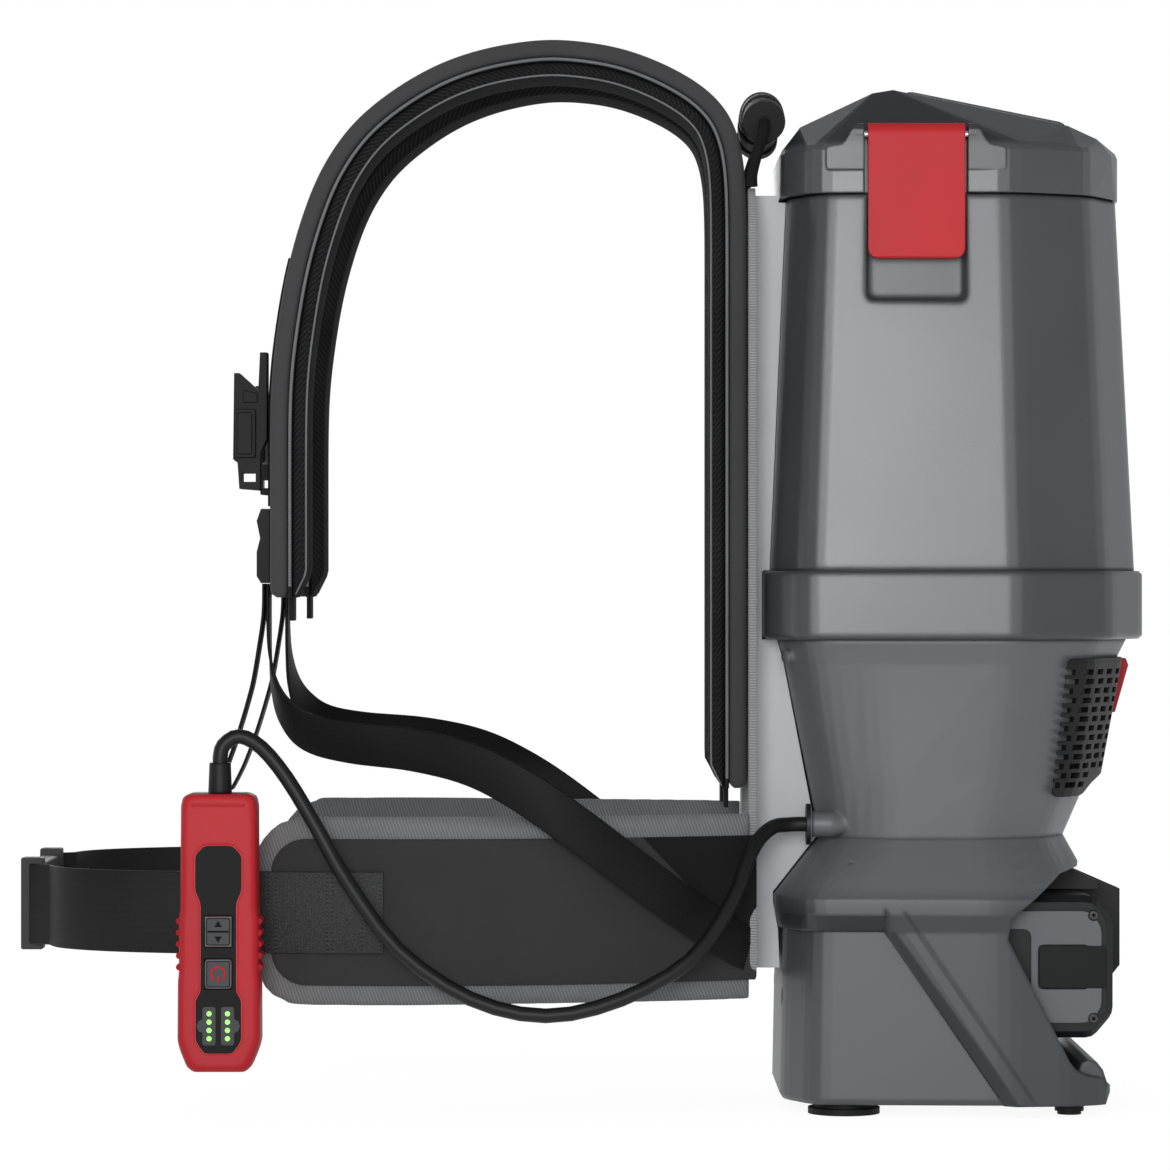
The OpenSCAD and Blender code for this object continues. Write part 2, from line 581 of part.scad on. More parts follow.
// ---- exhaust ----
cover_t = 3.2;
cover_out = 7.8;                // how far the cover stands out at its foot
tab_z0 = z_lip - 31;
tab_z1 = z_lip + 2;
cover_side = soften([[rear_x - 46, z_lip + 3], [rear_x + 20, z_lip + 3], [rear_x + 20, z_waist + 46],
    [rear_x - 9, z_waist + 42], [rear_x - 19, z_waist + 37], [rear_x - 28, z_waist + 31],
    [rear_x - 34, z_waist + 24], [rear_x - 54, z_waist + 24]], 3.5, 3);
function cover_r(z) = hous_r(z) + cover_out - 3.5 * max(0, z - z_exh) / (z_lip - z_exh);
function cover_plan(z, t) = plan(hous_f(z) - t, cover_r(z) + t - cover_t, hous_w(z) + t,
    hous_s(z), hous_m(z));
module exhaust_cover() {
    // bar under the lower rim, to pull the cover off by
    color("#222325") translate([cover_r(z_waist + 37) - 3.2, 0, z_waist + 37.5]) rotate([90, 0, 0])
        cylinder(d = 4.6, h = 64, center = true);
    color("#222325") difference() {
        intersection() {
            loft([for (z = [z_exh, z_knee, z_lip, z_lip + 8])
                lift(cover_plan(min(z, z_lip), cover_t), z)]);
            slab_y(-bw, bw) polygon(cover_side);
        }
        // seat on the housing, with the filter's room behind the rear wall
        loft([for (z = [z_exh - 1, z_knee, z_lip, z_lip + 4]) lift(hous_plan(z, -gap), z)]);
        intersection() {
            loft([for (z = [z_exh, z_knee, z_lip]) lift(cover_plan(z, 0), z)]);
            box([0, -exh_w - 6, exh_z0 - 4], [rear_x + 20, exh_w + 6, exh_z1 + 4]);
        }
        // louvres, in staggered columns round each rear corner; the lowest rows are shorter
        both_sides() for (i = [0:louvre_rows - 1]) for (k = [0:i < 2 ? 2 : 4]) {
            z = z_waist + 31 + i * exh_pitch;
            u = 0.68 + k * 0.3 + (i % 2) * 0.06;
            a = cover_at(z, u - 0.05);
            b = cover_at(z, u + 0.05);
            translate([(a[0] + b[0]) / 2, (a[1] + b[1]) / 2, z])
                rotate([0, 0, atan2(b[1] - a[1], b[0] - a[0])]) cube_c([9.5, 14, louvre_h]);
        }
        // recess of the release tab
        box([hous_r(z_waist) - 5, -tab_w / 2 - 0.5, tab_z0 - 0.5],
            [rear_x + 30, tab_w / 2 + 0.5, tab_z1 + 0.5]);
    }
}
exh_pitch = 71.5 / louvre_rows;
// place on the cover's outer face: 0 to 1 along the facet behind the broad side, 1 to 2 round it
function cover_at(z, u) = let (x0 = hous_f(z) - cover_t, l = cover_r(z) - x0, w = hous_w(z) + cover_t,
    h = [[x0 + 0.67 * l, w], [x0 + 0.89 * l, 0.78 * w], [x0 + l, 0.36 * w]], i = u < 1 ? 0 : 1,
    v = u - i) (1 - v) * h[i] + v * h[i + 1];
module cube_c(s) {
    translate(-s / 2) cube(s);
}
module exhaust_filter() {
    color("#dcdcd8") intersection() {
        difference() {
            loft([lift(hous_plan(z_waist, 1), z_waist), lift(hous_plan(z_lip, 1), z_lip)]);
            loft([lift(hous_plan(z_waist, 16), z_waist - 1), lift(hous_plan(z_lip, 16), z_lip + 1)]);
        }
        box([mid_x + 40, -exh_w + gap, exh_z0 + gap], [rear_x, exh_w - gap, exh_z1 - gap]);
    }
}
module exhaust_tab() {
    x0 = cover_r(tab_z0) - 3;
    x1 = cover_r(tab_z1) - 3;
    color("#c23a41") slab_y(-tab_w / 2, tab_w / 2) polygon([[x0, tab_z0], [x0 + 6.5, tab_z0 + 1],
        [x1 + 8, tab_z1 - 4], [x1 + 6.5, tab_z1], [x1, tab_z1]]);
}

// ---- batteries ----
bat_y = bat_w / 2 + 13;         // middle of a battery from the middle plane
bat_z0 = bay_z + 18;
bat_x0 = bay_x + 8;
bat_x1 = bat_x0 + bat_len;
module battery_dock() {
    top = z_waist - 14;
    color("#1c1d1f") {
        box([bay_x + gap, -leg_in + 4, bay_z + gap], [bat_x0 - gap, leg_in - 4, top]);
        box([bat_x0 - 1, -leg_in + 4, bay_z + gap], [rear_x - 64, leg_in - 4, bat_z0 - gap]);
        slab_y(-6, 6) polygon([[bat_x0 - 1, bay_z + gap], [rear_x - 64, bay_z + gap],
            [rear_x - 30, bat_z0 + 6], [rear_x - 14, bat_z0 + 26], [rear_x - 6, bat_z0 + 36],
            [rear_x - 6, z_waist - 34], [rear_x - 38, z_waist - 20], [rear_x - 60, top],
            [bat_x0 - 1, top]]);
        // canopy over the two batteries
        slab_y(-40, 40) polygon([[bat_x0 - 1, bat_z0 + bat_h + gap], [rear_x - 22, bat_z0 + bat_h + gap],
            [rear_x - 22, z_waist - 28], [rear_x - 38, z_waist - 20], [rear_x - 60, top],
            [bat_x0 - 1, top]]);
    }
}
function bat_plan(t) = soften([[bat_x0 + t, bat_z0 + t], [bat_x1 - 12, bat_z0 + t],
    [bat_x1 - t, bat_z0 + 14], [bat_x1 - t, bat_z0 + bat_h - 14], [bat_x1 - 12, bat_z0 + bat_h - t],
    [bat_x0 + t, bat_z0 + bat_h - t]], 4, 2);
module battery() {
    color("#2b2c2e") difference() {
        translate([0, bat_y, 0]) rotate([90, 0, 0]) loft([
            lift(bat_plan(4), -bat_w / 2), lift(bat_plan(0), -bat_w / 2 + 4),
            lift(bat_plan(0), bat_w / 2 - 4), lift(bat_plan(4), bat_w / 2)]);
        // screw wells in the outer cheek
        for (z = [bat_z0 + 11.5, bat_z0 + bat_h - 11.5])
            translate([bat_x1 - 11.5, bat_y + bat_w / 2 + 1, z]) rotate([90, 0, 0])
                cylinder(d = 5.6, h = 3);
        // slot of the release button
        box([bat_x1 - 9, bat_y - 12.4, bat_z0 + bat_h - 36.4],
            [bat_x1 + 2, bat_y + 12.4, bat_z0 + bat_h - 21.6]);
    }
}
module battery_left() {
    mirror([0, 1, 0]) battery();
}
module battery_right() {
    battery();
}
// raised pad on the outer cheek, with a window in it
module battery_pad() {
    y = bat_y + bat_w / 2;
    color("#5a5c5f") slab_y(y, y + 1.8) difference() {
        polygon(soften([[bat_x1 - 62, bat_z0 + 9], [bat_x1 - 14, bat_z0 + 9], [bat_x1 - 7, bat_z0 + 18],
            [bat_x1 - 7, bat_z0 + bat_h - 18], [bat_x1 - 14, bat_z0 + bat_h - 9],
            [bat_x1 - 62, bat_z0 + bat_h - 9]], 4, 2));
        polygon(soften([[bat_x1 - 44, bat_z0 + bat_h / 2 - 13], [bat_x1 - 14, bat_z0 + bat_h / 2 - 13],
            [bat_x1 - 14, bat_z0 + bat_h / 2 + 13], [bat_x1 - 44, bat_z0 + bat_h / 2 + 13]], 3, 2));
        // bare panel at the front of the pad, open to the left
        polygon(soften([[bat_x1 - 70, bat_z0 + bat_h / 2 - 16], [bat_x1 - 48, bat_z0 + bat_h / 2 - 16],
            [bat_x1 - 48, bat_z0 + bat_h / 2 + 22], [bat_x1 - 70, bat_z0 + bat_h / 2 + 22]], 5, 3));
        for (z = [bat_z0 + 11.5, bat_z0 + bat_h - 11.5]) translate([bat_x1 - 11.5, z]) circle(d = 6.6);
    }
}
module battery_pad_left() {
    mirror([0, 1, 0]) battery_pad();
}
module battery_pad_right() {
    battery_pad();
}
module battery_button() {
    color("#c23a41") box([bat_x1 - 4.5, bat_y - 12, bat_z0 + bat_h - 36],
        [bat_x1 + 0.5, bat_y + 12, bat_z0 + bat_h - 22]);
}
module battery_button_left() {
    mirror([0, 1, 0]) battery_button();
}
module battery_button_right() {
    battery_button();
}

// ---- screws, gland and back frame ----
screw_d = 8;
module housing_screws() {
    color("#8f9194") at_screws() difference() {
        union() {
            translate([0, 0, 2]) cylinder(d = screw_d, h = 2.3);
            cylinder(d = screw_d / 2, h = 10);
        }
        translate([0, 0, -1]) cylinder(d = screw_d / 2 + 1, h = 3);
        translate([0, 0, 0.5]) cylinder(d = screw_d / 2, h = 2.6, $fn = 6);
    }
}
module cable_gland() {
    color("#161617") translate([gland_x, gland_y, gland_z]) rotate([0, 90, 0]) {
        cylinder(d = 24, h = 3);
    }
}
rail_y = 46;
module back_frame() {
    color("#9a9b9d") {
        difference() {
            box([frame_x, -rail_y - 6, z_base + 76], [band_x - gap, rail_y + 6, z_seam + 2]);
            for (i = [0:3]) box([frame_x - 1, -rail_y + 12, z_can + 14 + i * 50],
                [band_x + 1, rail_y - 12, z_can + 48 + i * 50]);
        }
        both_sides() slab_y(rail_y, rail_y + 6) polygon([[frame_x, z_can + gap],
            [can_f(z_can) - gap, z_can + gap], [can_f(z_seam) - gap, z_seam - 2],
            [lid_x - 0.6, z_seam - 2], [lid_x - 0.6, z_seam + 2], [frame_x, z_seam + 2]]);
        both_sides() slab_y(rail_y, rail_y + 6) polygon([[frame_x, z_base + 76],
            [front_x + 8.6, z_base + 76], [front_x + 7.6, z_under - 2], [front_x + 4.8, z_ridge - 5],
            [front_x + 4.6, z_ridge + 1], [hous_f(z_waist) - 1, z_waist], [hous_f(z_lip) - 0.6, z_lip],
            [hous_f(z_band) - gap, z_band - gap], [frame_x, z_band - gap]]);
        // stays that hold the frame off the body
        for (s = [[z_waist + 10.5, 17.6, 30], [z_waist - 14, 7, 21]])
            translate([frame_x, rail_y + 9, s[0]]) rotate([0, 90, 0]) cylinder(d = s[1], h = s[2]);
    }
}

// ---- harness ----
plate_x = frame_x - gap;        // back face of the plate
back_x = plate_x - plate_t;     // its front face, where the pads lie
plate_top = z_seam + 5.5;
module harness_plate() {
    color("#3a3b3d") slab_x(back_x, plate_x) polygon(soften([for (p = concat([for (h = plate_side)
        [h[0], h[1]]], [for (h = flip(plate_side)) [-h[0], h[1]]])) p], 6, 3));
}
// half outline of the plate, from its foot to its top
plate_side = [[70, z_base + 70], [92, z_base + 76], [92, z_base + 110], [84, z_base + 128],
    [84, plate_top - 20], [70, plate_top]];
// outer edge of a shoulder strap: X from the plate, height from the plate's top
strap_pts = [[-0.3, -352], [-0.3, -338], [-0.3, -270], [-0.3, -190], [-0.3, -110], [-0.3, -45],
    [-0.5, 0], [-3.5, 25], [-11, 45], [-26, 60.5], [-47, 72.5], [-71, 81.5], [-94, 85.5], [-117, 86.7],
    [-140, 83.7], [-163, 78], [-186, 68.5], [-209, 54], [-230, 36], [-245, 15], [-256, -8],
    [-267, -44], [-273, -78], [-277, -110], [-278, -142], [-278, -190], [-278, -226], [-278, -240]];
strap_back_y = strap_space / 2 + strap_w / 2;   // middle of a strap at the back
strap_fan = 52;                                 // how far it moves out towards the chest
function strap_at(x) = strap_back_y + strap_fan * pow(min(1, max(0, -x / 278)), 1.6);
strap_line = smooth([for (p = strap_pts)
    [back_x + p[0], strap_at(p[0]), plate_top + p[1]]], 2);
strap_last = len(strap_line) - 1;
strap_end = strap_line[strap_last];
strap_y = strap_end[1];
// a layer swept along the strap; o is its outline: place across, depth from the outer edge.
// turn makes its facets lie parallel to those of the layers beside it
module strap_layer(l, o, turn = false) {
    loft([for (i = [0:len(l) - 1]) let (d = along(l, i), u = unit([0, 1, 0] - d[1] * d), v = cross(d, u))
        [for (q = o[min(i, len(o) - 1)]) l[i] + q[0] * u + q[1] * v]], turn);
}
core_a = strap_t + gap;
mesh_a = core_a + core_t + gap;
module strap() {
    h = strap_w / 2;
    t = strap_t;
    strap_layer(strap_line, [[[-h, t], [-h, 3], [3 - h, 0.8], [-h / 2, 0], [h / 2, 0],
        [h - 3, 0.8], [h, 3], [h, t]]]);
}
// the lining thins out towards both ends
module strap_mesh() {
    h = strap_w / 2 - 1.5;
    a = mesh_a;
    strap_layer(strap_line, [for (i = [0:strap_last]) let (
        e = min(span([for (k = [0:i]) strap_line[k]]), span([for (k = [i:strap_last]) strap_line[k]])),
        t = mesh_t * min(1, 0.08 + 0.92 * e / 15))
        [[-h, a], [h, a], [h, a + 0.75 * t], [h - 3, a + 0.94 * t], [h / 2, a + t],
        [-h / 2, a + t], [3 - h, a + 0.94 * t], [-h, a + 0.75 * t]]]);
}
// the core, with a narrower webbing that comes out of both ends of its strap
module strap_core() {
    h = strap_w / 2 - 0.5;
    strap_layer(strap_line, [[[-h, core_a], [h, core_a], [h, core_a + core_t],
        [-h, core_a + core_t]]], true);
    for (e = [[strap_line[0], -1, 12], [strap_end, 1, 13.5]]) let (x = e[0][0] + e[1] * core_a)
        box([min(x, x + e[1] * core_t), e[0][1] - 14, e[0][2] - e[2]],
            [max(x, x + e[1] * core_t), e[0][1] + 14, e[0][2] + 2]);
}
module strap_left() {
    mirror([0, 1, 0]) strap_right();
}
module strap_right() {
    color("#3a3a3b") strap();
}
module strap_core_left() {
    mirror([0, 1, 0]) strap_core_right();
}
module strap_core_right() {
    color("#77797b") strap_core();
}
module strap_mesh_left() {
    mirror([0, 1, 0]) strap_mesh_right();
}
module strap_mesh_right() {
    color("#202021") strap_mesh();
}

// hip pads: a bowed line in plan, the same on both sides
hip_out = 126;
hip_x0 = -100;
hip_bow = 46 / pow(back_x - hip_x0, 2);
hip_end = -190.5;
hip_z = z_base + 114;
function hip_at(x, o) = let (s = 2 * hip_bow * (x - hip_x0), n = unit([-s, 1]))
    [x, hip_out - hip_bow * pow(x - hip_x0, 2)] + o * unit([-(-s), 1]);
function hip_half(d, r) = d >= r ? 0 : r * (1 - sqrt(1 - pow(1 - d / r, 2)));
module hip_pillow(x0, x1, o, t, h, r) {
    xs = concat([for (k = [0:12]) x0 + (x1 + r - x0) * k / 12],
        [for (k = [1:6]) x1 + r * (1 - sin(15 * k))]);
    loft([for (x = xs) let (a = h / 2 - hip_half(x - x1, r), p = hip_at(x, 0), q = hip_at(x, 1),
        n = q - p, e = min(12, a / 3))
        [for (c = [[0.35, -1], [0.15, -1], [0, e / a - 1], [0, 1 - e / a], [0.15, 1], [0.35, 1],
            [0.85, 1 - 0.3 * e / a], [1, 1 - e / a], [1, e / a - 1], [0.85, 0.3 * e / a - 1]])
            [p[0] + (o + c[0] * t) * n[0], p[1] + (o + c[0] * t) * n[1], hip_z + c[1] * a]]]);
}
module hip_pad_right() {
    color("#58595b") before_plate() hip_pillow(back_x + 4, hip_end, -hip_t / 2, hip_t, hip_h, 28);
}
// cuts a pad or a webbing square where it meets the back plate
module before_plate() {
    intersection() {
        children();
        box([-400, 0, 0], [back_x - gap, 200, 400]);
    }
}
module hip_pad_left() {
    mirror([0, 1, 0]) hip_pad_right();
}
panel_t = 3;
panel_o = hip_t / 2 + gap;
module hip_panels() {
    color("#2b2b2c") both_sides()
        hip_pillow(back_x - 12, hip_end + 10, panel_o, panel_t, hip_h - 26, 20);
}
// waist webbing, stitched to the panel and running free to the buckle
belt_o = panel_o + panel_t + gap;
belt_t = 2.4;
buckle_x = -332.5;
buckle_d = 13;
buckle_half = 56;
buckle_end = 12;            // length of the thicker block at each end
belt_free = [[-222, 133], [-258, 124], [-286, 109], [-305, 89], [-313, 66]];
module belt() {
    l = concat([for (k = [0:7]) hip_at(hip_end + 70 - 10 * k, belt_o)],
        smooth([for (p = concat([hip_at(hip_end - 4, belt_o)], belt_free)) p], 3));
    translate([0, 0, hip_z - belt_w / 2]) linear_extrude(belt_w)
        polygon(band2(concat(l, [[buckle_x + buckle_d / 2, buckle_half + gap]]), 0, -belt_t));
}
module belt_right() {
    color("#2a2a2b") belt();
}
module belt_left() {
    mirror([0, 1, 0]) belt_right();
}
buckle_h = belt_w + 7;
prong_y = -26;
module buckle_female() {
    color("#19191a") difference() {
        union() {
            buckle_slab(-buckle_half, -buckle_half + buckle_end, 0);
            buckle_slab(-buckle_half, -0.3, 4);
        }
        for (s = [-1, 1]) box([buckle_x + 3.6, prong_y - 1, hip_z + s * 15 - 6.4],
            [buckle_x + 9.4, 1, hip_z + s * 15 + 6.4]);
        // windows that the prongs' heads spring into
        for (s = [-1, 1]) box([buckle_x + 3.6, prong_y, hip_z + s * 24 - 6],
            [buckle_x + 9.4, prong_y + 12, hip_z + s * 24 + 6]);
    }
}
// outline of the buckle from its end, t inside the full size
module buckle_slab(y0, y1, t) {
    translate([0, 0, hip_z]) slab_y(y0, y1) polygon(soften([[buckle_x + t / 3, t - buckle_h / 2],
        [buckle_x + buckle_d - t / 3, t - buckle_h / 2],
        [buckle_x + buckle_d - t / 3, buckle_h / 2 - t], [buckle_x + t / 3, buckle_h / 2 - t]],
        1.2, 2));
}
module buckle_male() {
    color("#19191a") {
        buckle_slab(buckle_half - buckle_end, buckle_half, 0);
        buckle_slab(0.3, buckle_half, 4);
        for (s = [-1, 1]) box([buckle_x + 4, prong_y, hip_z + s * 15 - 5],
            [buckle_x + 9, 1, hip_z + s * 15 + 5]);
    }
}

lock_x = strap_end[0] - gap;    // back of the ladder locks
// adjuster webbing from the strap's front end to the plate: place, then the way its width lies
lower_pts = [
    [lock_x - 1.3, strap_y, strap_end[2] + 8, 0, 1, 0],
    [lock_x - 1.3, strap_y, strap_end[2] - 15, 0, 1, 0],
    [lock_x - 0.5, strap_y, strap_end[2] - 35, 0.05, 1, 0.05],
    [lock_x + 2.6, strap_y + 1, strap_end[2] - 53, 0.2, 0.95, 0.2],
    [lock_x + 9.5, strap_y + 4, strap_end[2] - 67.5, 0.35, 0.8, 0.5],
    [-161, 97, 222.5, 0.3, 0.5, 0.8],
    [-138, 106, 217, 0.15, 0.3, 0.9],
    [-100, 119, 213, 0, 0.15, 1],
    [-66, 132, 205, 0, 0.1, 1],
    [-36, 139, 190, 0, 0.1, 1],
    [-4, 137, 168, 0, 0, 1],
    [31, 126, 141, 0, 0, 1],
    [60, 113, 119, 0, 0, 1],
    [86, 98, 101, 0, 0, 1],
    [95, 91, 96, 0, 0, 1],
    [104, 84, 91, 0, 0, 1]];
module lower_strap_right() {
    color("#2d2d2e") before_plate() ribbon(smooth(lower_pts, 3), web_w, 1.8);
}
module lower_strap_left() {
    mirror([0, 1, 0]) lower_strap_right();
}
// webbing down each strap's front, which the chest bracket slides on, and the adjuster's loose tail
tail_pts = [[-3, 8], [-3.4, -10], [-6.3, -30.5], [-9.2, -47.5], [-12, -59], [-17, -76], [-22, -91],
    [-28, -106], [-34.7, -119]];
module strap_webbing() {
    rail = concat([for (i = [42:48]) strap_line[i]], [[back_x - 278, strap_y, plate_top - 187]]);
    color("#2d2d2e") both_sides() {
        strap_layer(rail, [[[-8, -0.3], [-8, -1.8], [8, -1.8], [8, -0.3]]]);
        slab_y(strap_y - web_w / 2, strap_y + web_w / 2) polygon(band2(smooth([for (p = tail_pts)
            [lock_x + p[0], strap_end[2] + p[1]]], 2), 0, -1.6));
    }
}
module ladder_locks() {
    z = strap_end[2] + 8.3;
    color("#161617") both_sides() slab_y(strap_y - web_w / 2 - 3, strap_y + web_w / 2 + 3)
        polygon([[lock_x, z], [lock_x, z + 43], [lock_x - 5, z + 43], [lock_x - 7.5, z + 36],
            [lock_x - 5.5, z + 26], [lock_x - 7.5, z + 18], [lock_x - 7.5, z + 4], [lock_x - 5, z]]);
}

// ---- chest strap across the two shoulder straps ----
st_x = strap_end[0] - 2.1;
st_z = plate_top - 178;
module sternum_bracket() {
    color("#1b1b1c") both_sides() slab_y(strap_y - 6, strap_y + 12) difference() {
        polygon([[st_x, st_z + 80], [st_x - 4, st_z + 80], [st_x - 5, st_z + 58], [st_x - 16, st_z + 68],
            [st_x - 19, st_z + 68], [st_x - 19.6, st_z + 18], [st_x - 17, st_z + 16],
            [st_x - 16, st_z + 1], [st_x - 4, st_z], [st_x - 3.5, st_z + 22], [st_x, st_z + 30]]);
        polygon([[st_x - 14.5, st_z + 5], [st_x - 6.5, st_z + 5], [st_x - 6.5, st_z + 10],
            [st_x - 14.5, st_z + 10]]);
    }
    // raised body of the bracket, and the rib above it
    color("#1b1b1c") both_sides() {
        slab_y(strap_y + 11, strap_y + 14.5) polygon(soften([[st_x - 18.8, st_z + 19],
            [st_x - 6.5, st_z + 19], [st_x - 6.5, st_z + 47], [st_x - 18.8, st_z + 47]], 1.5, 2));
        slab_y(strap_y + 14, strap_y + 15.3) polygon(soften([[st_x - 17, st_z + 21],
            [st_x - 8.5, st_z + 21], [st_x - 8.5, st_z + 45], [st_x - 17, st_z + 45]], 1, 2));
        slab_y(strap_y + 11, strap_y + 13.5) polygon([[st_x - 13.5, st_z + 51],
            [st_x - 5.5, st_z + 51], [st_x - 5.5, st_z + 56], [st_x - 13.5, st_z + 58]]);
    }
}
module sternum_strap() {
    color("#2d2d2e") both_sides() box([st_x - 12, 22.3, st_z + 21], [st_x - 10.2, strap_y - 6.3, st_z + 46]);
}
module sternum_buckle() {
    color("#1b1b1c") slab_y(-22, 22) polygon(soften([[st_x - 16, st_z + 18], [st_x - 6, st_z + 18],
        [st_x - 6, st_z + 49], [st_x - 16, st_z + 49]], 2, 2));
}

// ---- carry handle ----
grip_x = back_x + 9.4;
grip_z = plate_top + 39.5;
grip_half = 61;
grip_r = 185;
module carry_handle() {
    a = asin(grip_half / grip_r);
    color("#18181a") translate([grip_x, 0, grip_z + 10 - grip_r]) rotate([0, 0, 0])
        rotate([90, 0, 90]) rotate([0, 0, 90 - a]) {
            rotate_extrude(angle = 2 * a) translate([grip_r, 0]) circle(d = grip_d - 2);
            for (i = [0:6]) rotate([0, 0, (2 * a - 2) * i / 6]) rotate_extrude(angle = 2)
                translate([grip_r, 0]) circle(d = grip_d);
        }
}
rope_pts = [[grip_x, 62.5, grip_z - 1], [grip_x - 0.5, 68, grip_z - 7], [grip_x - 4, 71, grip_z - 18],
    [back_x + plate_t / 2, 71, plate_top + 8], [back_x + plate_t / 2, 71, plate_top + gap]];
module handle_rope() {
    color("#1c1c1d") both_sides() rope(smooth(rope_pts, 3), 6.6, 10);
}
module rope(p, d, sides) {
    loft([for (i = [0:len(p) - 1]) let (t = along(p, i), u = unit(cross([1, 0, 0], t)),
        v = cross(t, u)) [for (k = [0:sides - 1]) let (a = 360 * k / sides)
        p[i] + d / 2 * (cos(a) * u + sin(a) * v)]]);
}

// ---- remote ----
rem_x = -208;
rem_z = 111;
rem_y = -139;                   // back face of the remote
function rem_half(w, h) = [[w - 8.5, h], [w - 4.2, h - 2], [w - 3, h - 7], [w - 2.6, 13], [w - 1.8, 8],
    [w - 1.8, -22], [w - 1.2, -28], [w - 1, 18 - h], [w - 2.2, 13 - h], [w - 6.2, 3 - h],
    [w - 10, -h]];
function rem(t) = let (r = rem_half(remote_w / 2 - t, remote_h / 2 - t))
    soften(concat(r, [for (q = flip(r)) [-q[0], q[1]]]), 1.6, 2);
panel_y = rem_y - remote_t;
rocker_z = rem_z + 1;
power_z = rem_z - 23;
module remote_case() {
    color("#be3a40") difference() {
        union() {
            translate([rem_x, rem_y, rem_z]) rotate([90, 0, 0]) loft([for (s = [[3, 0], [1, 1.2],
                [0, 3.6], [0, remote_t - 4.5], [1.1, remote_t - 1.4], [3.4, remote_t]])
                lift(flip(rem(s[0])), s[1])]);
            // grip ribs down both sides
            for (s = [-1, 1]) for (i = [0:4])
                translate([rem_x + s * (remote_w / 2 - 2), rem_y - 4.5, rem_z + 6.5 - 6.5 * i])
                    rotate([90, 0, 0]) cylinder(d = 3.8, h = remote_t - 8.5, $fn = 16);
        }
        // fine line over the top of the face
        box([rem_x - 15, panel_y - 1, rem_z + 71.6], [rem_x + 15, panel_y + 0.7, rem_z + 72.5]);
        translate([rem_x, 0, rem_z]) slab_y(panel_y - 1, panel_y + 1.2) polygon(fascia(0.2));
        translate([rem_x, 0, rocker_z]) box([-8, panel_y - 1, -9.2], [8, panel_y + 5, 9.2]);
        translate([rem_x, 0, power_z]) box([-8, panel_y - 1, -8.8], [8, panel_y + 5, 8.8]);
    }
    // tapered sleeve round the cord
    color("#191919") translate([rem_x, rem_y - remote_t / 2, rem_z + remote_h / 2 - 0.5])
        cylinder(d1 = 13.6, d2 = 12.2, h = 17.5);
}
function fascia(t) = soften([[13 + t, 44], [13 + t, 24], [10 + t, 17], [10 + t, -33.5],
    [12.8 + t, -37.5], [12.8 + t, -61], [8, -68 - t], [-8, -68 - t], [-12.8 - t, -61],
    [-12.8 - t, -37.5], [-10 - t, -33.5], [-10 - t, 17], [-13 - t, 24], [-13 - t, 44],
    [-8, 49.5 + t], [8, 49.5 + t]], 2, 2);
module remote_panel() {
    color("#1a1a1b") difference() {
        translate([rem_x, 0, rem_z]) slab_y(panel_y - 0.6, panel_y + 1) polygon(fascia(0));
        translate([rem_x, 0, rocker_z]) box([-7.9, panel_y - 2, -9.1], [7.9, panel_y + 2, 9.1]);
        translate([rem_x, 0, power_z]) box([-7.9, panel_y - 2, -8.7], [7.9, panel_y + 2, 8.7]);
        leds() cylinder(d = 3, h = 4, center = true);
    }
}
module leds() {
    for (s = [-1, 1]) for (i = [0:3])
        translate([rem_x + 5.2 * s, panel_y - 0.1, rem_z - 45.5 - 4.7 * i]) rotate([90, 0, 0]) children();
}
module speed_rocker() {
    color("#333436") translate([rem_x, 0, rocker_z]) slab_x(-7.5, 7.5) polygon([[panel_y + 2.5, -8.5],
        [panel_y - 1.8, -8.5], [panel_y - 1.3, 0], [panel_y - 1.8, 8.5], [panel_y + 2.5, 8.5]]);
}
module power_button() {
    color("#333436") translate([rem_x, 0, power_z]) slab_y(panel_y - 1.6, panel_y + 2.5)
        polygon(soften([[-7.5, -8.2], [7.5, -8.2], [7.5, 8.2], [-7.5, 8.2]], 2, 2));
}
module remote_leds() {
    color("#8fe388") leds() cylinder(d = 2.8, h = 1.6, center = true);
}
module remote_clip() {
    color("#161617") translate([rem_x, 0, hip_z + belt_w / 2]) slab_x(-11, 11) polygon([
        [rem_y, 6], [rem_y, -38], [rem_y + 1.6, -38], [rem_y + 1.6, 2], [rem_y + 13.5, 2],
        [rem_y + 13.5, -34], [rem_y + 15.5, -34], [rem_y + 15.5, 6]]);
}
// the cord's line, from the gland round outside the hip pad and up over the top of the remote
cord_pts = [[128.5, -76, 168.3], [124, -76, 168.3], [117, -77.5, 168], [109, -84, 167], [100, -95, 160], [93, -107, 148],
    [84, -121, 126], [60, -138, 94], [20, -148, 72], [-23, -152, 63], [-66, -154, 73],
    [-107, -155, 101], [-136, -155, 140], [-153, -154, 170], [-170, -153, 198], [-184.5, -152.5, 215.5],
    [-197, -152.5, 222], [-206, -152.5, 217], [-208, -152.5, 210], [-208, -152.5, 207]];
cord_last = len(cord_pts) - 1;
module remote_cord() {
    color("#19191a") tube(concat([cord_pts[0]], smooth([for (i = [1:cord_last - 1]) cord_pts[i]], 3),
        [cord_pts[cord_last]]), cord_d, 10);
}

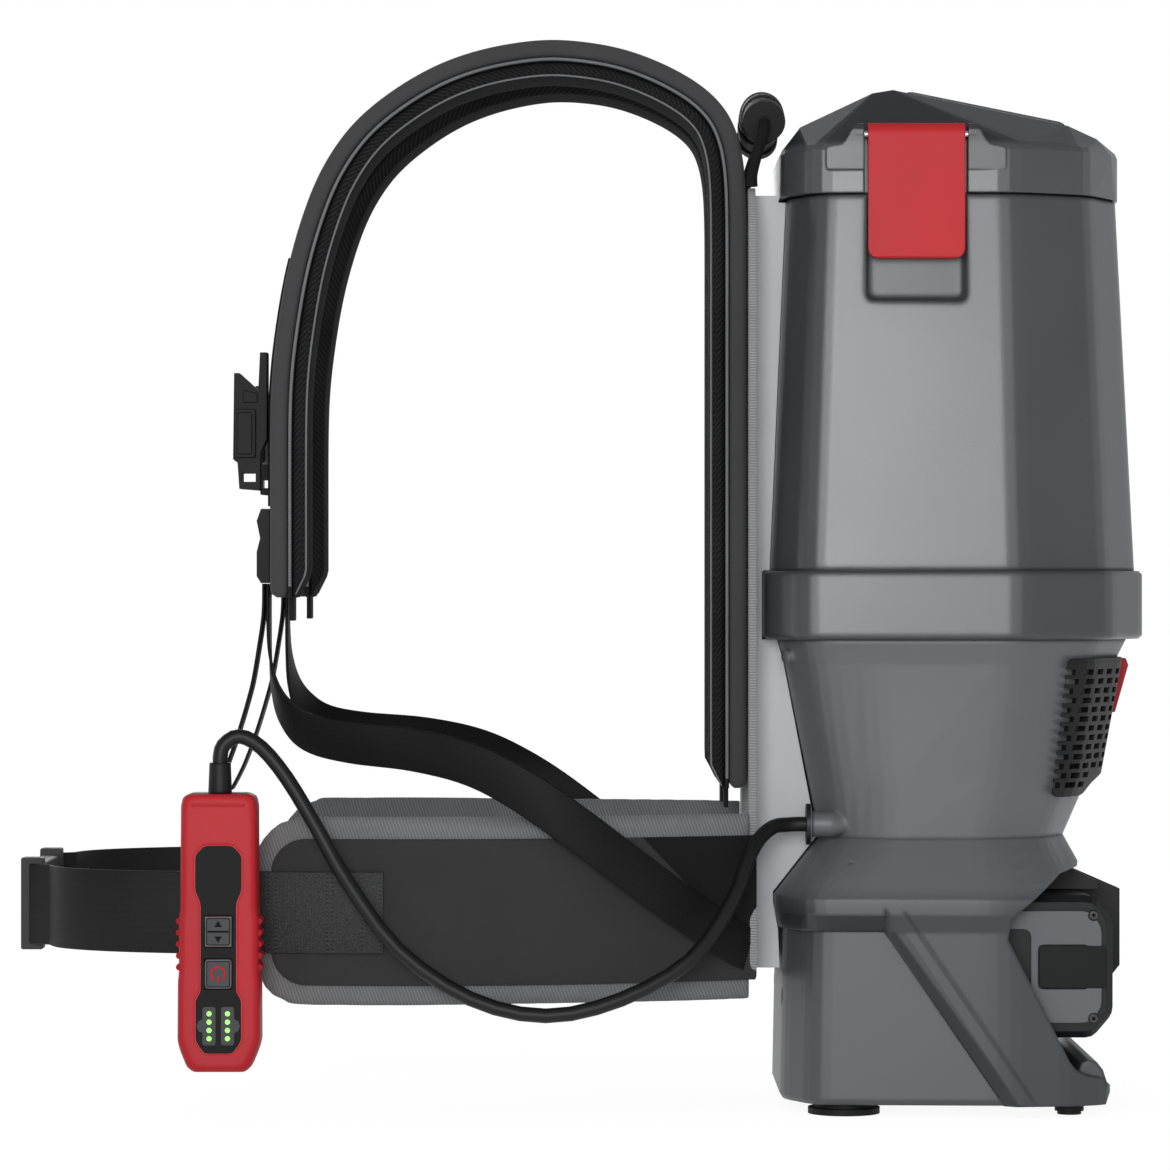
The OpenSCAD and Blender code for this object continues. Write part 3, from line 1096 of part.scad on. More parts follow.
canister();
collar_band();
motor_housing();
base_housing();
rear_shell();
feet();
bulkhead();
motor();
premotor_filter();
filter_grid();
control_box();
lid();
lid_gasket();
hose_port();
latch_left();
latch_right();
latch_pins();
exhaust_cover();
exhaust_filter();
exhaust_tab();
battery_dock();
battery_left();
battery_right();
battery_pad_left();
battery_pad_right();
battery_button_left();
battery_button_right();
housing_screws();
cable_gland();
back_frame();
harness_plate();
strap_left();
strap_right();
strap_core_left();
strap_core_right();
strap_mesh_left();
strap_mesh_right();
hip_pad_left();
hip_pad_right();
hip_panels();
belt_left();
belt_right();
buckle_female();
buckle_male();
lower_strap_left();
lower_strap_right();
strap_webbing();
ladder_locks();
sternum_bracket();
sternum_strap();
sternum_buckle();
carry_handle();
handle_rope();
remote_case();
remote_panel();
speed_rocker();
power_button();
remote_leds();
remote_clip();
remote_cord();
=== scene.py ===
# %% [markdown]
# # A battery backpack vacuum cleaner
# The rigid shells of the machine come from a imported model and stay where they are. This lesson
# gives them their finishes, and models what is soft: shoulder straps, hip pads, webbing, the
# remote's cord and the small details that a plain solid leaves out.
# %% Load the frame
import math

import bpy
import numpy as np
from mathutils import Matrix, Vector


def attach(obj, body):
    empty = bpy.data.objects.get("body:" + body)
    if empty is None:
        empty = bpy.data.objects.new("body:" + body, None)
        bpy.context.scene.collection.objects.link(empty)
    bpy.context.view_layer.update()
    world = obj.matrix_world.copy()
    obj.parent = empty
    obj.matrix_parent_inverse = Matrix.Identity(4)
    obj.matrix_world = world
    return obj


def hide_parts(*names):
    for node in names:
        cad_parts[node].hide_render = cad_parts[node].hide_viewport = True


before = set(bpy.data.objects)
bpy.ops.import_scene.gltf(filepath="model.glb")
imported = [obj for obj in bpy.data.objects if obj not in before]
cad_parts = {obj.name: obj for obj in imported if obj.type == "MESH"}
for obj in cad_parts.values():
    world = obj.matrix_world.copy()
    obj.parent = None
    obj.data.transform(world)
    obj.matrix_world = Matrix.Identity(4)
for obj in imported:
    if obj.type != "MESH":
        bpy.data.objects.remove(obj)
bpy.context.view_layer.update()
bpy.ops.object.select_all(action="DESELECT")
MM = 0.001

# %% [markdown]
# ## Camera
# A long lens square to the machine's side keeps its proportions as a maker's drawing would. A
# short lens would swell the remote, which stands nearest. The place is given: 2.9 m away, level
# with the middle of the body.
# %% Camera
CAMERA_X, CAMERA_AWAY, CAMERA_HIGH = -0.0006, 2.9, 0.308
VIEW_WIDTH = 0.702
SENSOR = 36
bpy.ops.object.camera_add(location=(CAMERA_X, -CAMERA_AWAY, CAMERA_HIGH),
                          rotation=(math.pi / 2, 0, 0))
camera = bpy.context.object
camera.data.sensor_width = SENSOR
camera.data.lens = SENSOR * CAMERA_AWAY / VIEW_WIDTH
camera.data.clip_start = 0.1
camera.data.clip_end = 60
bpy.context.scene.camera = camera
print("lens", round(camera.data.lens, 1), "mm")

# %% [markdown]
# ## Shader sums
# A finish is easier to read as a sum than as a web of nodes. `Wire` wraps one socket, and
# a sum of wires adds the Math nodes that it needs. `Finish` holds one material, or the
# world, and its `node` method adds any other node by its type, its settings and what its
# sockets get.
# %% Wire
class Wire:
    """One output of a node. Sums of wires and numbers make Math nodes."""

    def __init__(self, finish, socket):
        self.finish = finish
        self.socket = socket

    def __add__(self, other):
        return self.finish.sum("ADD", self, other)

    def __sub__(self, other):
        return self.finish.sum("SUBTRACT", self, other)

    def __rsub__(self, other):
        return self.finish.sum("SUBTRACT", other, self)

    def __mul__(self, other):
        return self.finish.sum("MULTIPLY", self, other)

    def __pow__(self, other):
        return self.finish.sum("POWER", self, other)

    __radd__ = __add__
    __rmul__ = __mul__

    def sine(self):
        return self.finish.sum("SINE", self)

    def size(self):
        return self.finish.sum("ABSOLUTE", self)

    def step(self, low, high):
        """0 at low, 1 at high, smooth in between; low may be the higher of the two."""
        return self.finish.node("MapRange", {"interpolation_type": "SMOOTHSTEP"},
                                self, low, high, 0, 1)


print("sums ready")

# %% Finish
class Finish:
    """The nodes of one material, or of another owner of nodes, such as the world."""

    def __init__(self, name, owner=None):
        self.owner = owner or bpy.data.materials.new(name)
        self.owner.use_nodes = True
        self.tree = self.owner.node_tree
        self.tree.nodes.clear()

    def feed(self, socket, value):
        if isinstance(value, Wire):
            self.tree.links.new(value.socket, socket)
        elif value is not None:
            socket.default_value = value

    def node(self, kind, settings=None, *values, out=0, **named):
        """Add a node. values feed its sockets in their order, and named ones by name."""
        made = self.tree.nodes.new("ShaderNode" + kind)
        for key, setting in (settings or {}).items():
            setattr(made, key, setting)
        for socket, value in zip(made.inputs, values):
            self.feed(socket, value)
        for key, value in named.items():
            self.feed(made.inputs[key.replace("_", " ")], value)
        return Wire(self, made.outputs[out]) if made.outputs else None

    def sum(self, operation, *values):
        return self.node("Math", {"operation": operation}, *values)

    def object_place(self):
        return self.node("TexCoord", out="Object")

    def cloth_place(self):
        """Along and across a strap, in metres, from the piece's own UV map."""
        return self.node("UVMap", {"uv_map": "cloth"})

    def parts_of(self, vector):
        """The X, Y and Z of a vector."""
        outs = self.node("SeparateXYZ", None, vector).socket.node.outputs
        return [Wire(self, out) for out in outs]

    def noise(self, scale, detail=2.0, place=None):
        return self.node("TexNoise", None, Vector=place or self.object_place(), Scale=scale,
                         Detail=detail)

    def blend(self, share, one, two):
        """Colour one at share 0, colour two at share 1."""
        # a Mix node has its number and vector sockets first, at 1 to 5
        return self.node("Mix", {"data_type": "RGBA"}, share, *[None] * 5, one, two, out=2)

    def round_edges(self, radius):
        return self.node("Bevel", {"samples": 6}, radius)

    def bump(self, height, depth, normal=None):
        return self.node("Bump", None, Height=height, Distance=depth, Normal=normal)

    def surface(self, **sockets):
        self.node("OutputMaterial", None, self.node("BsdfPrincipled", None, **sockets))
        return self.owner


print("finishes can be made")


# %% Colours
def tint(code, times=1.0):
    """A colour written as six hex digits, as linear red, green and blue."""
    parts = [int(code[i:i + 2], 16) / 255 for i in (0, 2, 4)]
    linear = [p / 12.92 if p <= 0.04045 else ((p + 0.055) / 1.055) ** 2.4 for p in parts]
    return tuple(min(1.0, times * p) for p in linear) + (1.0,)


print("white is", tint("ffffff")[:3])

# %% [markdown]
# ## Moulded plastic
# The shells are injection moulded in a satin charcoal. Three things tell moulded plastic
# from a flat colour: a fine grain that breaks up the gloss, edges that are never quite
# sharp and rub a little lighter, and a faint drift of tone over a large panel. A real
# bevel would need the solids' loose triangles to be merged and cleaned first. A Bevel node
# rounds the look of the edges instead, so the solids can stay as they are.
# %% Plastic
def plastic(name, colour, gloss=0.42, grain=0.00004, edge=0.0008, rub=0.35, specular=0.5,
            grain_scale=1400, beyond=None, mark=None):
    """Satin plastic. gloss is its roughness, grain the depth of its surface in metres, edge
    the radius that its edges seem to have, and rub how much paler they wear. beyond, as axis,
    from, to and colour, blends to a second colour between two places on an axis. mark(x, z)
    gives the share of a second colour over the side view, and that colour."""
    f = Finish(name)
    place = f.object_place()
    drift = f.noise(9, 3, place)
    specks = f.noise(grain_scale, 1, place)
    rounded = f.round_edges(edge)
    flat = f.node("NewGeometry", out="Normal")
    # on an edge the rounded normal leaves the flat one
    same = f.node("VectorMath", {"operation": "DOT_PRODUCT"}, rounded, flat, out="Value")
    worn = (1 - same).step(0.02, 0.25) * f.noise(60, 3, place).step(0.35, 0.7)
    pale = tuple(min(1, 1.9 * c + 0.03) for c in tint(colour)[:3]) + (1,)
    body = f.blend(drift.step(0.3, 0.7), tint(colour, 0.93), tint(colour, 1.07))
    body = f.blend(worn * rub, body, pale)
    if beyond:
        axis, low, high, second = beyond
        body = f.blend(f.parts_of(place)[axis].step(low, high), body, tint(second))
    if mark:
        x, _, z = f.parts_of(place)
        share, second = mark(x, z)
        body = f.blend(share, body, tint(second))
    rough = gloss + (drift - 0.5) * 0.08 + (specks - 0.5) * 0.05
    return f.surface(Base_Color=body, Roughness=rough, Normal=f.bump(specks, grain, rounded),
                     Specular_IOR_Level=specular)


def dress(material, *nodes):
    """Give the CAD nodes a finish."""
    for name in nodes:
        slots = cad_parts[name].data.materials
        if not slots:
            slots.append(material)
        for slot in range(len(slots)):
            slots[slot] = material


# %% [markdown]
# ## The shells
# The facets of the real shells take the light in steps, and here those steps are painted into the
# colour. Where a facet turns away, painted shade makes its tone darker than its slope alone would
# make it. So a shell may blend to a second colour past a height, as painted shade on the lid's
# roof or a painted highlight on the rear shell's top. It may also blend to painted shade along a
# band that follows the facet's edge. Painted points could do this too, but these triangles are
# large, and a band in metres stays sharp on them.
# %% Shells
AXIS_X, AXIS_Z = 0, 2
ROOF_Z = (0.563, 0.567)         # the lid's wall ends, its roof begins
SHELL_TOP_Z = (0.118, 0.135)    # the rear shell turns to its paler top
LEG_EDGE_X, LEG_EDGE_Z = 0.1734, 0.1076     # a point on the leg's front edge
LEG_OUT_X, LEG_OUT_Z = 0.834, 0.551         # the way from that edge across the facet
FACET_WIDE = 0.009
LEG_TOP_Z = (0.1085, 0.107)
LEDGE_Z, LEDGE_END_X = 0.117, 0.175


def painted_shade_band(x, z):
    """Painted shade on the facets that turn inwards: under the ledge, and along the front edge of
    each leg.
    """
    past = (x - LEG_EDGE_X) * LEG_OUT_X + (z - LEG_EDGE_Z) * LEG_OUT_Z
    leg = past.step(0.0002, 0.0008) * past.step(FACET_WIDE + 0.0004, FACET_WIDE - 0.0004)
    leg = leg * z.step(*LEG_TOP_Z)
    ledge = z.step(LEDGE_Z + 0.0002, LEDGE_Z - 0.0002)
    ledge = ledge * x.step(LEDGE_END_X + 0.0015, LEDGE_END_X - 0.0015)
    # the band's dark colour is painted shade in these recesses
    return leg + ledge * (1 - leg), "1f2123"


dress(plastic("charcoal_shell", "404245", gloss=0.3, edge=0.005, rub=0.08, specular=0.55),
      "canister", "collar_band")
# the lid's darker roof is painted shade on the faces that look up
dress(plastic("charcoal_lid", "46484b", gloss=0.3, edge=0.0016, rub=0.08, specular=0.55,
              beyond=(AXIS_Z, *ROOF_Z, "2c2e31")), "lid")
dress(plastic("charcoal_housing", "5c5e61", edge=0.004, rub=0.08, specular=0.55),
      "motor_housing")
dress(plastic("charcoal_base", "464849", edge=0.003, rub=0.1), "base_housing")
# the rear shell's paler top is a painted highlight on the facets that tilt up
dress(plastic("slate_shell", "36393c", edge=0.003, rub=0.1,
              beyond=(AXIS_Z, *SHELL_TOP_Z, "595c5f"), mark=painted_shade_band), "rear_shell")
dress(plastic("light_frame", "b6b7b9", gloss=0.45, rub=0.1, specular=0.35), "back_frame")
print("shells dressed")

# %% [markdown]
# ## Fittings
# Buckles, covers and clips are black acetal or nylon with a low gloss. The red ones are
# the parts that a hand has to find: latches, releases and the remote. One recipe serves
# them all, and the blacks differ as on the real machine, by gloss and by a few steps of
# tone. The remote and the cord's gland change colour at one place, at their sleeves.
# %% Fittings
SLEEVE_Z = (0.1894, 0.1896)     # the remote's red case ends, its sleeve begins
GLAND_X = (0.1308, 0.1312)      # the gland's sheath ends, its nut begins
dress(plastic("black_moulding", "131314", gloss=0.5, specular=0.25), "exhaust_cover",
      "battery_dock", "bulkhead", "filter_grid", "hose_port", "remote_clip")
dress(plastic("deep_black", "0a0a0b", gloss=0.5, specular=0.15), "ladder_locks",
      "sternum_bracket", "sternum_buckle")
dress(plastic("buckle_black", "272728", gloss=0.5, specular=0.25), "buckle_female",
      "buckle_male")
dress(plastic("red_moulding", "b41f27", gloss=0.5, edge=0.0012, rub=0.15, specular=0.25),
      "latch_left", "latch_right", "exhaust_tab", "battery_button_left",
      "battery_button_right")
dress(plastic("battery_case", "131416", gloss=0.5, specular=0.25), "battery_left",
      "battery_right")
dress(plastic("battery_cheek", "55575a", specular=0.4), "battery_pad_left",
      "battery_pad_right")
dress(plastic("gland_rubber", "101011", gloss=0.6, specular=0.2), "lid_gasket", "feet")
dress(plastic("gland_sheath", "0d0d0e", gloss=0.45, specular=0.4,
              beyond=(AXIS_X, *GLAND_X, "5c5e61")), "cable_gland")
dress(plastic("remote_red", "ac1c25", gloss=0.5, edge=0.003, rub=0.1, specular=0.25,
              beyond=(AXIS_Z, *SLEEVE_Z, "101011")), "remote_case")
dress(plastic("fascia_black", "0e0e0f", gloss=0.5, grain=0.00001, rub=0.05, specular=0.12),
      "remote_panel")
# the keys' pale rim is a painted highlight on their edges
dress(plastic("key_rim_painted_highlight", "5b5c5e", gloss=0.5, grain=0.00002, specular=0.25), "speed_rocker",
      "power_button")
dress(plastic("board_green", "1d3a2a", gloss=0.5), "control_box")
dress(plastic("grip_rubber", "0d0d0e", gloss=0.5, grain_scale=700, grain=0.0001,
              specular=0.25), "carry_handle")
print("plastics", len(bpy.data.materials))

# %% [markdown]
# ## Metal, felt and lights
# What hides inside still gets a finish: turned aluminium for the motor's case, felt for
# the filters, steel for pins and screws, and a soft glow for the eight charge lights. The
# fine turning lines could be an image, but noise that is drawn out along one axis gives
# them at any distance. The lights glow by themselves, so no lamp is needed in them.
# %% Metal, felt and lights
def metal(name, colour, gloss, stretch):
    """Bare or blackened metal. stretch below 1 on an axis draws the fine lines out along it."""
    f = Finish(name)
    place = f.node("Mapping", None, f.object_place(), Scale=stretch)
    lines = f.noise(900, 2, place)
    return f.surface(Base_Color=tint(colour), Metallic=1.0, Roughness=gloss + (lines - 0.5) * 0.2,
                     Normal=f.bump(lines, 0.00002, f.round_edges(0.0004)))


def felt(name, colour):
    f = Finish(name)
    fluff = f.noise(1800, 4)
    return f.surface(Base_Color=f.blend(fluff, tint(colour, 0.75), tint(colour)), Roughness=0.95,
                     Normal=f.bump(fluff, 0.0003))


def glow(name, colour):
    f = Finish(name)
    return f.surface(Base_Color=tint(colour), Roughness=0.3,
                     Emission_Color=f.blend(f.noise(300), tint(colour, 0.85), tint(colour)),
                     Emission_Strength=1.1)


dress(metal("motor_case", "a8a9ac", 0.35, (1, 1, 0.04)), "motor")
dress(metal("steel", "b9babc", 0.28, (1, 1, 1)), "latch_pins")
dress(metal("black_steel", "3a3a3c", 0.35, (1, 1, 1)), "housing_screws")
dress(felt("filter_felt", "e4e4df"), "premotor_filter", "exhaust_filter")
dress(glow("charge_light", "86ef5c"), "remote_leds")
print("with metal, felt and lights", len(bpy.data.materials))

# %% [markdown]
# ## Cloth
# Woven and knitted goods are told apart by their repeat. Each finish here reads a map in
# metres that runs along and across its strap, so the weave turns with the strap and has
# its true scale. Sines make the ribs, and the noise on top makes single yarns uneven. An
# image of cloth would show its repeat along a strap of nearly a metre.
# %% A cloth finish
def cloth(name, colour, light, height, depth, sheen=0.2, rough=0.85, times=(0.7, 1.25),
          specular=0.2, by_object="", patch=None):
    """height(along, across, fuzz) gives the weave from 0, low, to 1, high, and depth is its depth
    in metres. A piece without a cloth map names two of its own directions in by_object instead.
    patch(finish, along, across) gives a share of a second colour, and that colour, for stitches,
    sewn-on cloth and a darker corner."""
    f = Finish(name)
    if by_object:
        place = dict(zip("xyz", f.parts_of(f.object_place())))
        along, across = place[by_object[0]], place[by_object[1]]
    else:
        along, across, _ = f.parts_of(f.cloth_place())
    fuzz = f.noise(2600)
    weave = height(along, across, fuzz)
    tone = f.noise(22, 3)
    dark, pale = tint(colour, times[0]), tint(light, times[1])
    body = f.blend(weave * 0.75 + fuzz * 0.25, dark, pale)
    body = f.blend(tone.step(0.3, 0.75) * 0.25, body, tint(colour, 0.8))
    if patch:
        share, other = patch(f, along, across)
        body = f.blend(share, body, tint(other))
    return f.surface(Base_Color=body, Roughness=rough, Sheen_Weight=sheen, Sheen_Roughness=0.5,
                     Specular_IOR_Level=specular,
                     Normal=f.bump(weave * 0.8 + fuzz * 0.2, depth))


def every(pitch):
    """The factor that gives a sine one wave in every pitch metres."""
    return 2 * math.pi / pitch


print("one wave every 2 mm turns", round(every(0.002)), "radians a metre")

# %% [markdown]
# ## Weaves
# A weave is a height between 0 and 1. One sine makes ribs, a product of two makes a
# chequer of threads, and a root of that product leaves the small open eyes of a net.
# Modelled yarns would take millions of faces for what the eye reads as a surface.
# %% Weaves
def ribs(pitch, slant=0.0):
    """Ribs across the cloth, each yarn a little uneven. slant leans them."""
    return lambda along, across, fuzz: (
        ((along + across * slant) * every(pitch) + fuzz * 0.7).sine() * 0.5 + 0.5)


def webbing_weave(along, across, fuzz):
    """Flat nylon webbing: fine ribs across it, in rows that lean both ways."""
    rib = (along * every(0.0016)).sine() * 0.5 + 0.5
    lean = (along * every(0.0032)).sine() * 0.6
    rows = (across * every(0.0042) + lean).sine()
    return rib * 0.6 + (rows * 0.5 + 0.5) * 0.4


def mesh_weave(along, across, fuzz):
    """Spacer mesh: a net with small open eyes, whose slanting ribs stand out one way."""
    one = ((along + across) * every(0.0036)).sine()
    two = ((along - across) * every(0.0036)).sine()
    return (one * 0.5 + 0.5) * 0.65 + (one * two).size() ** 0.5 * 0.35


def canvas_weave(along, across, fuzz):
    """Plain canvas: threads over and under, 1.1 mm for each pair."""
    return (along * every(0.0011)).sine() * (across * every(0.0011)).sine() * 0.5 + 0.5


pad_cloth = cloth("strap_canvas", "3a3a3b", "464647", canvas_weave, 0.00012, times=(0.8, 1.1),
                  sheen=0.1)
mesh_cloth = cloth("air_mesh", "000000", "363637", mesh_weave, 0.001, times=(1.0, 1.0), sheen=0.0,
                   specular=0.05)
piping_cloth = cloth("grey_piping", "626364", "7c7d7f", ribs(0.0016, 0.8), 0.0002, sheen=0.1)
webbing_cloth = cloth("black_webbing", "040405", "0a0a0b", webbing_weave, 0.00006, rough=0.6,
                      sheen=0.0, specular=0.18)
core_cloth = cloth("dark_core", "161617", "202021", canvas_weave, 0.0001, sheen=0.0)
hip_cloth = cloth("rib_knit", "616263", "7e7f80", ribs(0.0019, 0.35), 0.0003, sheen=0.1,
                  times=(0.9, 1.05), by_object="xz")
plate_cloth = cloth("plate_edge", "7b7c7d", "929394", ribs(0.0016), 0.0003, by_object="zy")
rope_cloth = cloth("black_rope", "0b0b0c", "1a1a1b", ribs(0.0022, 1.6), 0.0004, sheen=0.0)
dress(plate_cloth, "harness_plate")
print("finishes", len(bpy.data.materials))

# %% [markdown]
# ## A dark corner and stitches
# The hip panel is darker in its corner by the back plate, above the line of the lower strap, and
# the waist webbing is held to it by rows of pale stitches. Both lie flat in the cloth, so they are
# a share of a second colour in the finish, placed in metres, and need no mesh of their own.
# %% The panel's dark corner and the belt's stitches
DARK_CORNER_X, DARK_CORNER_Z, DARK_CORNER_SLOPE = 0.0297, 0.1656, 1.07
STITCH_ROWS = (0.0015, 0.012, 0.029, 0.032, 0.062, 0.066)
STITCH_PITCH = 0.0024
SEWN_LENGTH = 0.071


def dark_corner(f, x, z):
    """The panel's darker corner by the back plate, above the line of the lower strap."""
    return ((z - DARK_CORNER_Z) + (x - DARK_CORNER_X) * DARK_CORNER_SLOPE).step(-0.001, 0.001), "0f0f10"


def stitch_rows(f, along, across):
    """Rows of pale stitches across the belt, and a greyer patch as far as it is sewn on."""
    dots = (across * every(STITCH_PITCH)).sine().step(0.1, 0.5)
    rows = 0
    for place in STITCH_ROWS:
        rows = rows + (along - place).size().step(0.0006, 0.0003)
    sewn = (along - SEWN_LENGTH).step(0.0004, 0.0)
    grey = f.noise(1200).step(0.4, 0.65)
    return rows * dots * 0.5 + sewn * (0.12 + grey * 0.3) * (1 - rows), "4c4d4e"


panel_cloth = cloth("panel_canvas", "2a2a2b", "3a3a3b", canvas_weave, 0.00015, times=(0.85, 1.1),
                    sheen=0.05, by_object="xz", patch=dark_corner)
belt_cloth = cloth("waist_webbing", "0a0a0b", "121213", webbing_weave, 0.00006, rough=0.6,
                   sheen=0.0, specular=0.25, patch=stitch_rows)
print(len(STITCH_ROWS), "rows of stitches over", SEWN_LENGTH * 1000, "mm")

# %% [markdown]
# ## Lines
# Webbing and padded straps follow a line through a few given places. A curve object could do this
# too, but a list of points can be eased, cut, measured and carried further, and the line's own
# direction tells how an outline has to stand on it.
# %% Lines
SIDES = (("left", True), ("right", False))      # a piece is made on the right, and flipped


def smooth_line(points, steps):
    """A line through all the points, with that many steps from each to the next."""
    p = np.array(points, float)
    ends = np.vstack([p[:1], p, p[-1:]])
    out = []
    for i in range(len(p) - 1):
        a, b, c, d = ends[i:i + 4]
        for k in range(steps):
            w = k / steps
            out.append(0.5 * (2 * b + w * (c - a) + w * w * (2 * a - 5 * b + 4 * c - d)
                              + w ** 3 * (3 * b - a - 3 * c + d)))
    return np.array(out + [p[-1]])


def eased(line, passes):
    """The line with its small wobbles averaged out; both ends stay."""
    line = np.array(line)
    for _ in range(passes):
        line[1:-1] = (line[:-2] + 2 * line[1:-1] + line[2:]) / 4
    return line


def unit(v):
    """The direction of one vector, or of each in a list."""
    return v / np.linalg.norm(v, axis=-1, keepdims=True)


def ways(line):
    """The direction of the line at each of its points."""
    return unit(np.gradient(line, axis=0))


def run_of(points):
    """How far along the line each point lies."""
    return np.concatenate([[0], np.cumsum(np.linalg.norm(np.diff(points, axis=0), axis=1))])


print("a 30 by 40 line is", run_of(np.array([(0, 0), (30, 40)]))[-1], "long")

# %% [markdown]
# ## Outlines and rings
# A strap, a pad or a length of webbing is one outline carried along a line. It could be a
# curve with a bevel shape, but then its width would roll over at the top of the arch. Here
# each ring of points is placed from the line's own direction and from a side that the
# width keeps to.
# %% Outlines and rings
def rounded(half, low, high, corner, crown=0.0, count=4):
    """A flat outline with round corners; its outer face, at depth low, is crowned."""
    out = []
    for cx, cy, start in ((half - corner, high - corner, 0), (corner - half, high - corner, 90),
                          (corner - half, low + corner, 180), (half - corner, low + corner, 270)):
        for k in range(count + 1):
            a = math.radians(start + 90 * k / count)
            out.append([cx + corner * math.cos(a), cy + corner * math.sin(a)])
    for p in out:
        if p[1] < (low + high) / 2:
            p[1] += crown * (abs(p[0]) / half) ** 2
    return out


def bead(across, depth, radius, sides=8):
    """A round outline, for piping and rope."""
    return [(across + radius * math.cos(2 * math.pi * k / sides),
             depth + radius * math.sin(2 * math.pi * k / sides)) for k in range(sides)]


def lay(line, outlines, side=(0, 1, 0)):
    """Rings of an outline (place across, depth inwards) carried along a line. outlines is one
    outline, or a function that gives one for each point."""
    d = ways(line)
    side = np.array(side, float)
    u = unit(side - (d @ side)[:, None] * d)
    v = np.cross(d, u)
    rings = []
    for i, p in enumerate(line):
        o = np.array(outlines(i) if callable(outlines) else outlines, float)
        rings.append(p + o[:, :1] * u[i] + o[:, 1:] * v[i])
    return rings


def twisting(points, outline, steps=6):
    """Rings of a strip whose width lies as the last three numbers of each point say."""
    line = smooth_line(points, steps)
    d = ways(line[:, :3])
    r = line[:, 3:]
    u = unit(r - (r * d).sum(axis=1)[:, None] * d)
    v = np.cross(d, u)
    o = np.array(outline)
    return [p[:3] + o[:, :1] * u[i] + o[:, 1:] * v[i] for i, p in enumerate(line)]


print("a webbing outline has", len(rounded(12.5, 0, 1.8, 0.7, count=2)), "points")

# %% [markdown]
# ## From rings to a skin
# Rings of the same count are joined by four-sided faces. Each corner of a face also gets
# its place on the cloth: metres along, and metres round. The end rings are closed in one
# of two ways: a fan to a middle point suits webbing, and bands between the points that
# face each other suit a pad, because they leave no crease down the middle of its end.
# %% From rings to a skin
def join(rings, cloth, facing):
    """Points, faces and cloth places of a closed skin over the rings."""
    m, n = rings.shape[:2]
    verts, faces, cloth_map = rings.reshape(-1, 3).tolist(), [], []
    for j in range(m - 1):
        for i in range(n):
            k = (i + 1) % n
            faces.append([j * n + i, j * n + k, (j + 1) * n + k, (j + 1) * n + i])
            cloth_map += [cloth[j][i], cloth[j][i + 1], cloth[j + 1][i + 1], cloth[j + 1][i]]
    if facing:
        pair_sum, places = facing
        for j in (0, m - 1):
            for i in range(*places):
                corners = [i % n, (i + 1) % n, (pair_sum - i - 1) % n, (pair_sum - i) % n]
                corners = [c for k, c in enumerate(corners) if c not in corners[:k]]
                faces.append([j * n + c for c in corners])
                cloth_map += [cloth[j][c] for c in corners]
        return verts, faces, cloth_map
    for j, order in ((0, range(n - 1, -1, -1)), (m - 1, range(n))):
        verts.append(rings[j].mean(axis=0).tolist())
        centre = tuple(np.mean(cloth[j][:n], axis=0))
        for i, a in enumerate(order):
            b = order[(i + 1) % n]
            faces.append([len(verts) - 1, j * n + a, j * n + b])
            cloth_map += [centre, cloth[j][a], cloth[j][b]]
    return verts, faces, cloth_map


def edit_all():
    """Go into edit mode with the whole mesh selected."""
    bpy.ops.object.mode_set(mode="EDIT")
    bpy.ops.mesh.select_all(action="SELECT")


def skin(name, rings, material, body="vacuum", flip=False, cloth=None, facing=None):
    """A closed skin over rings of points in millimetres. cloth gives each point's place on
    the cloth; without it, it is the run along and round. facing closes the end rings of a pad
    with bands: it is the sum of the numbers of two points that face each other, and where the
    first of them starts and stops."""
    rings = np.array(rings, float) * MM
    if flip:
        rings = rings * np.array([1, -1, 1])
    if cloth is None:
        along = run_of(rings.mean(axis=1))
        middle = rings[len(rings) // 2]
        around = run_of(np.vstack([middle, middle[:1]]))
        cloth = [[(a, b) for b in around] for a in along]
    else:
        cloth = [[tuple(np.array(c) * MM) for c in list(row) + [row[0]]] for row in cloth]
    verts, faces, cloth_map = join(rings, cloth, facing)
    mesh = bpy.data.meshes.new(name)
    mesh.from_pydata(verts, [], faces)
    layer = mesh.uv_layers.new(name="cloth")
    layer.data.foreach_set("uv", np.array(cloth_map, np.float32).ravel())
    mesh.materials.append(material)
    piece = bpy.data.objects.new(name, mesh)
    bpy.context.scene.collection.objects.link(piece)
    bpy.context.view_layer.objects.active = piece
    piece.select_set(True)
    edit_all()
    bpy.ops.mesh.normals_make_consistent(inside=False)
    bpy.ops.object.mode_set(mode="OBJECT")
    bpy.ops.object.shade_smooth_by_angle(angle=math.radians(50))
    bpy.ops.object.select_all(action="DESELECT")
    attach(piece, body)
    return piece


print("skins ready")

# %% [markdown]
# ## Shoulder straps
# Each strap rises from the back plate, arches over the shoulder and falls down the chest.
# The two fan out from the neck to the chest. The line is set by places in the side view,
# closer together where it bends, and is then eased a little, because a person sees every
# corner in a long smooth arch.
# %% The strap's line
BACK_X, PLATE_TOP = 95.2, 540.8         # where the straps leave the back plate
STRAP_REACH, STRAP_DROP = 278, 240      # from there to the strap front, and down to its end
NECK_Y, CHEST_Y = 36, 88                # half the distance between the straps
SEAT = 0.3                              # the room between two layers that lie together
strap_pts = [(-0.3, -352), (-0.3, -338), (-0.3, -270), (-0.3, -190), (-0.3, -110), (-0.3, -45),
             (-0.5, 0), (-3.5, 25), (-11, 45), (-26, 60.5), (-47, 72.5), (-71, 81.5), (-94, 85.5),
             (-117, 86.7), (-140, 83.7), (-163, 78), (-186, 68.5), (-209, 54), (-230, 36),
             (-245, 15), (-256, -8), (-267, -44), (-273, -78), (-277, -110),
             (-STRAP_REACH, -142), (-STRAP_REACH, -190), (-STRAP_REACH, -226),
             (-STRAP_REACH, -STRAP_DROP)]


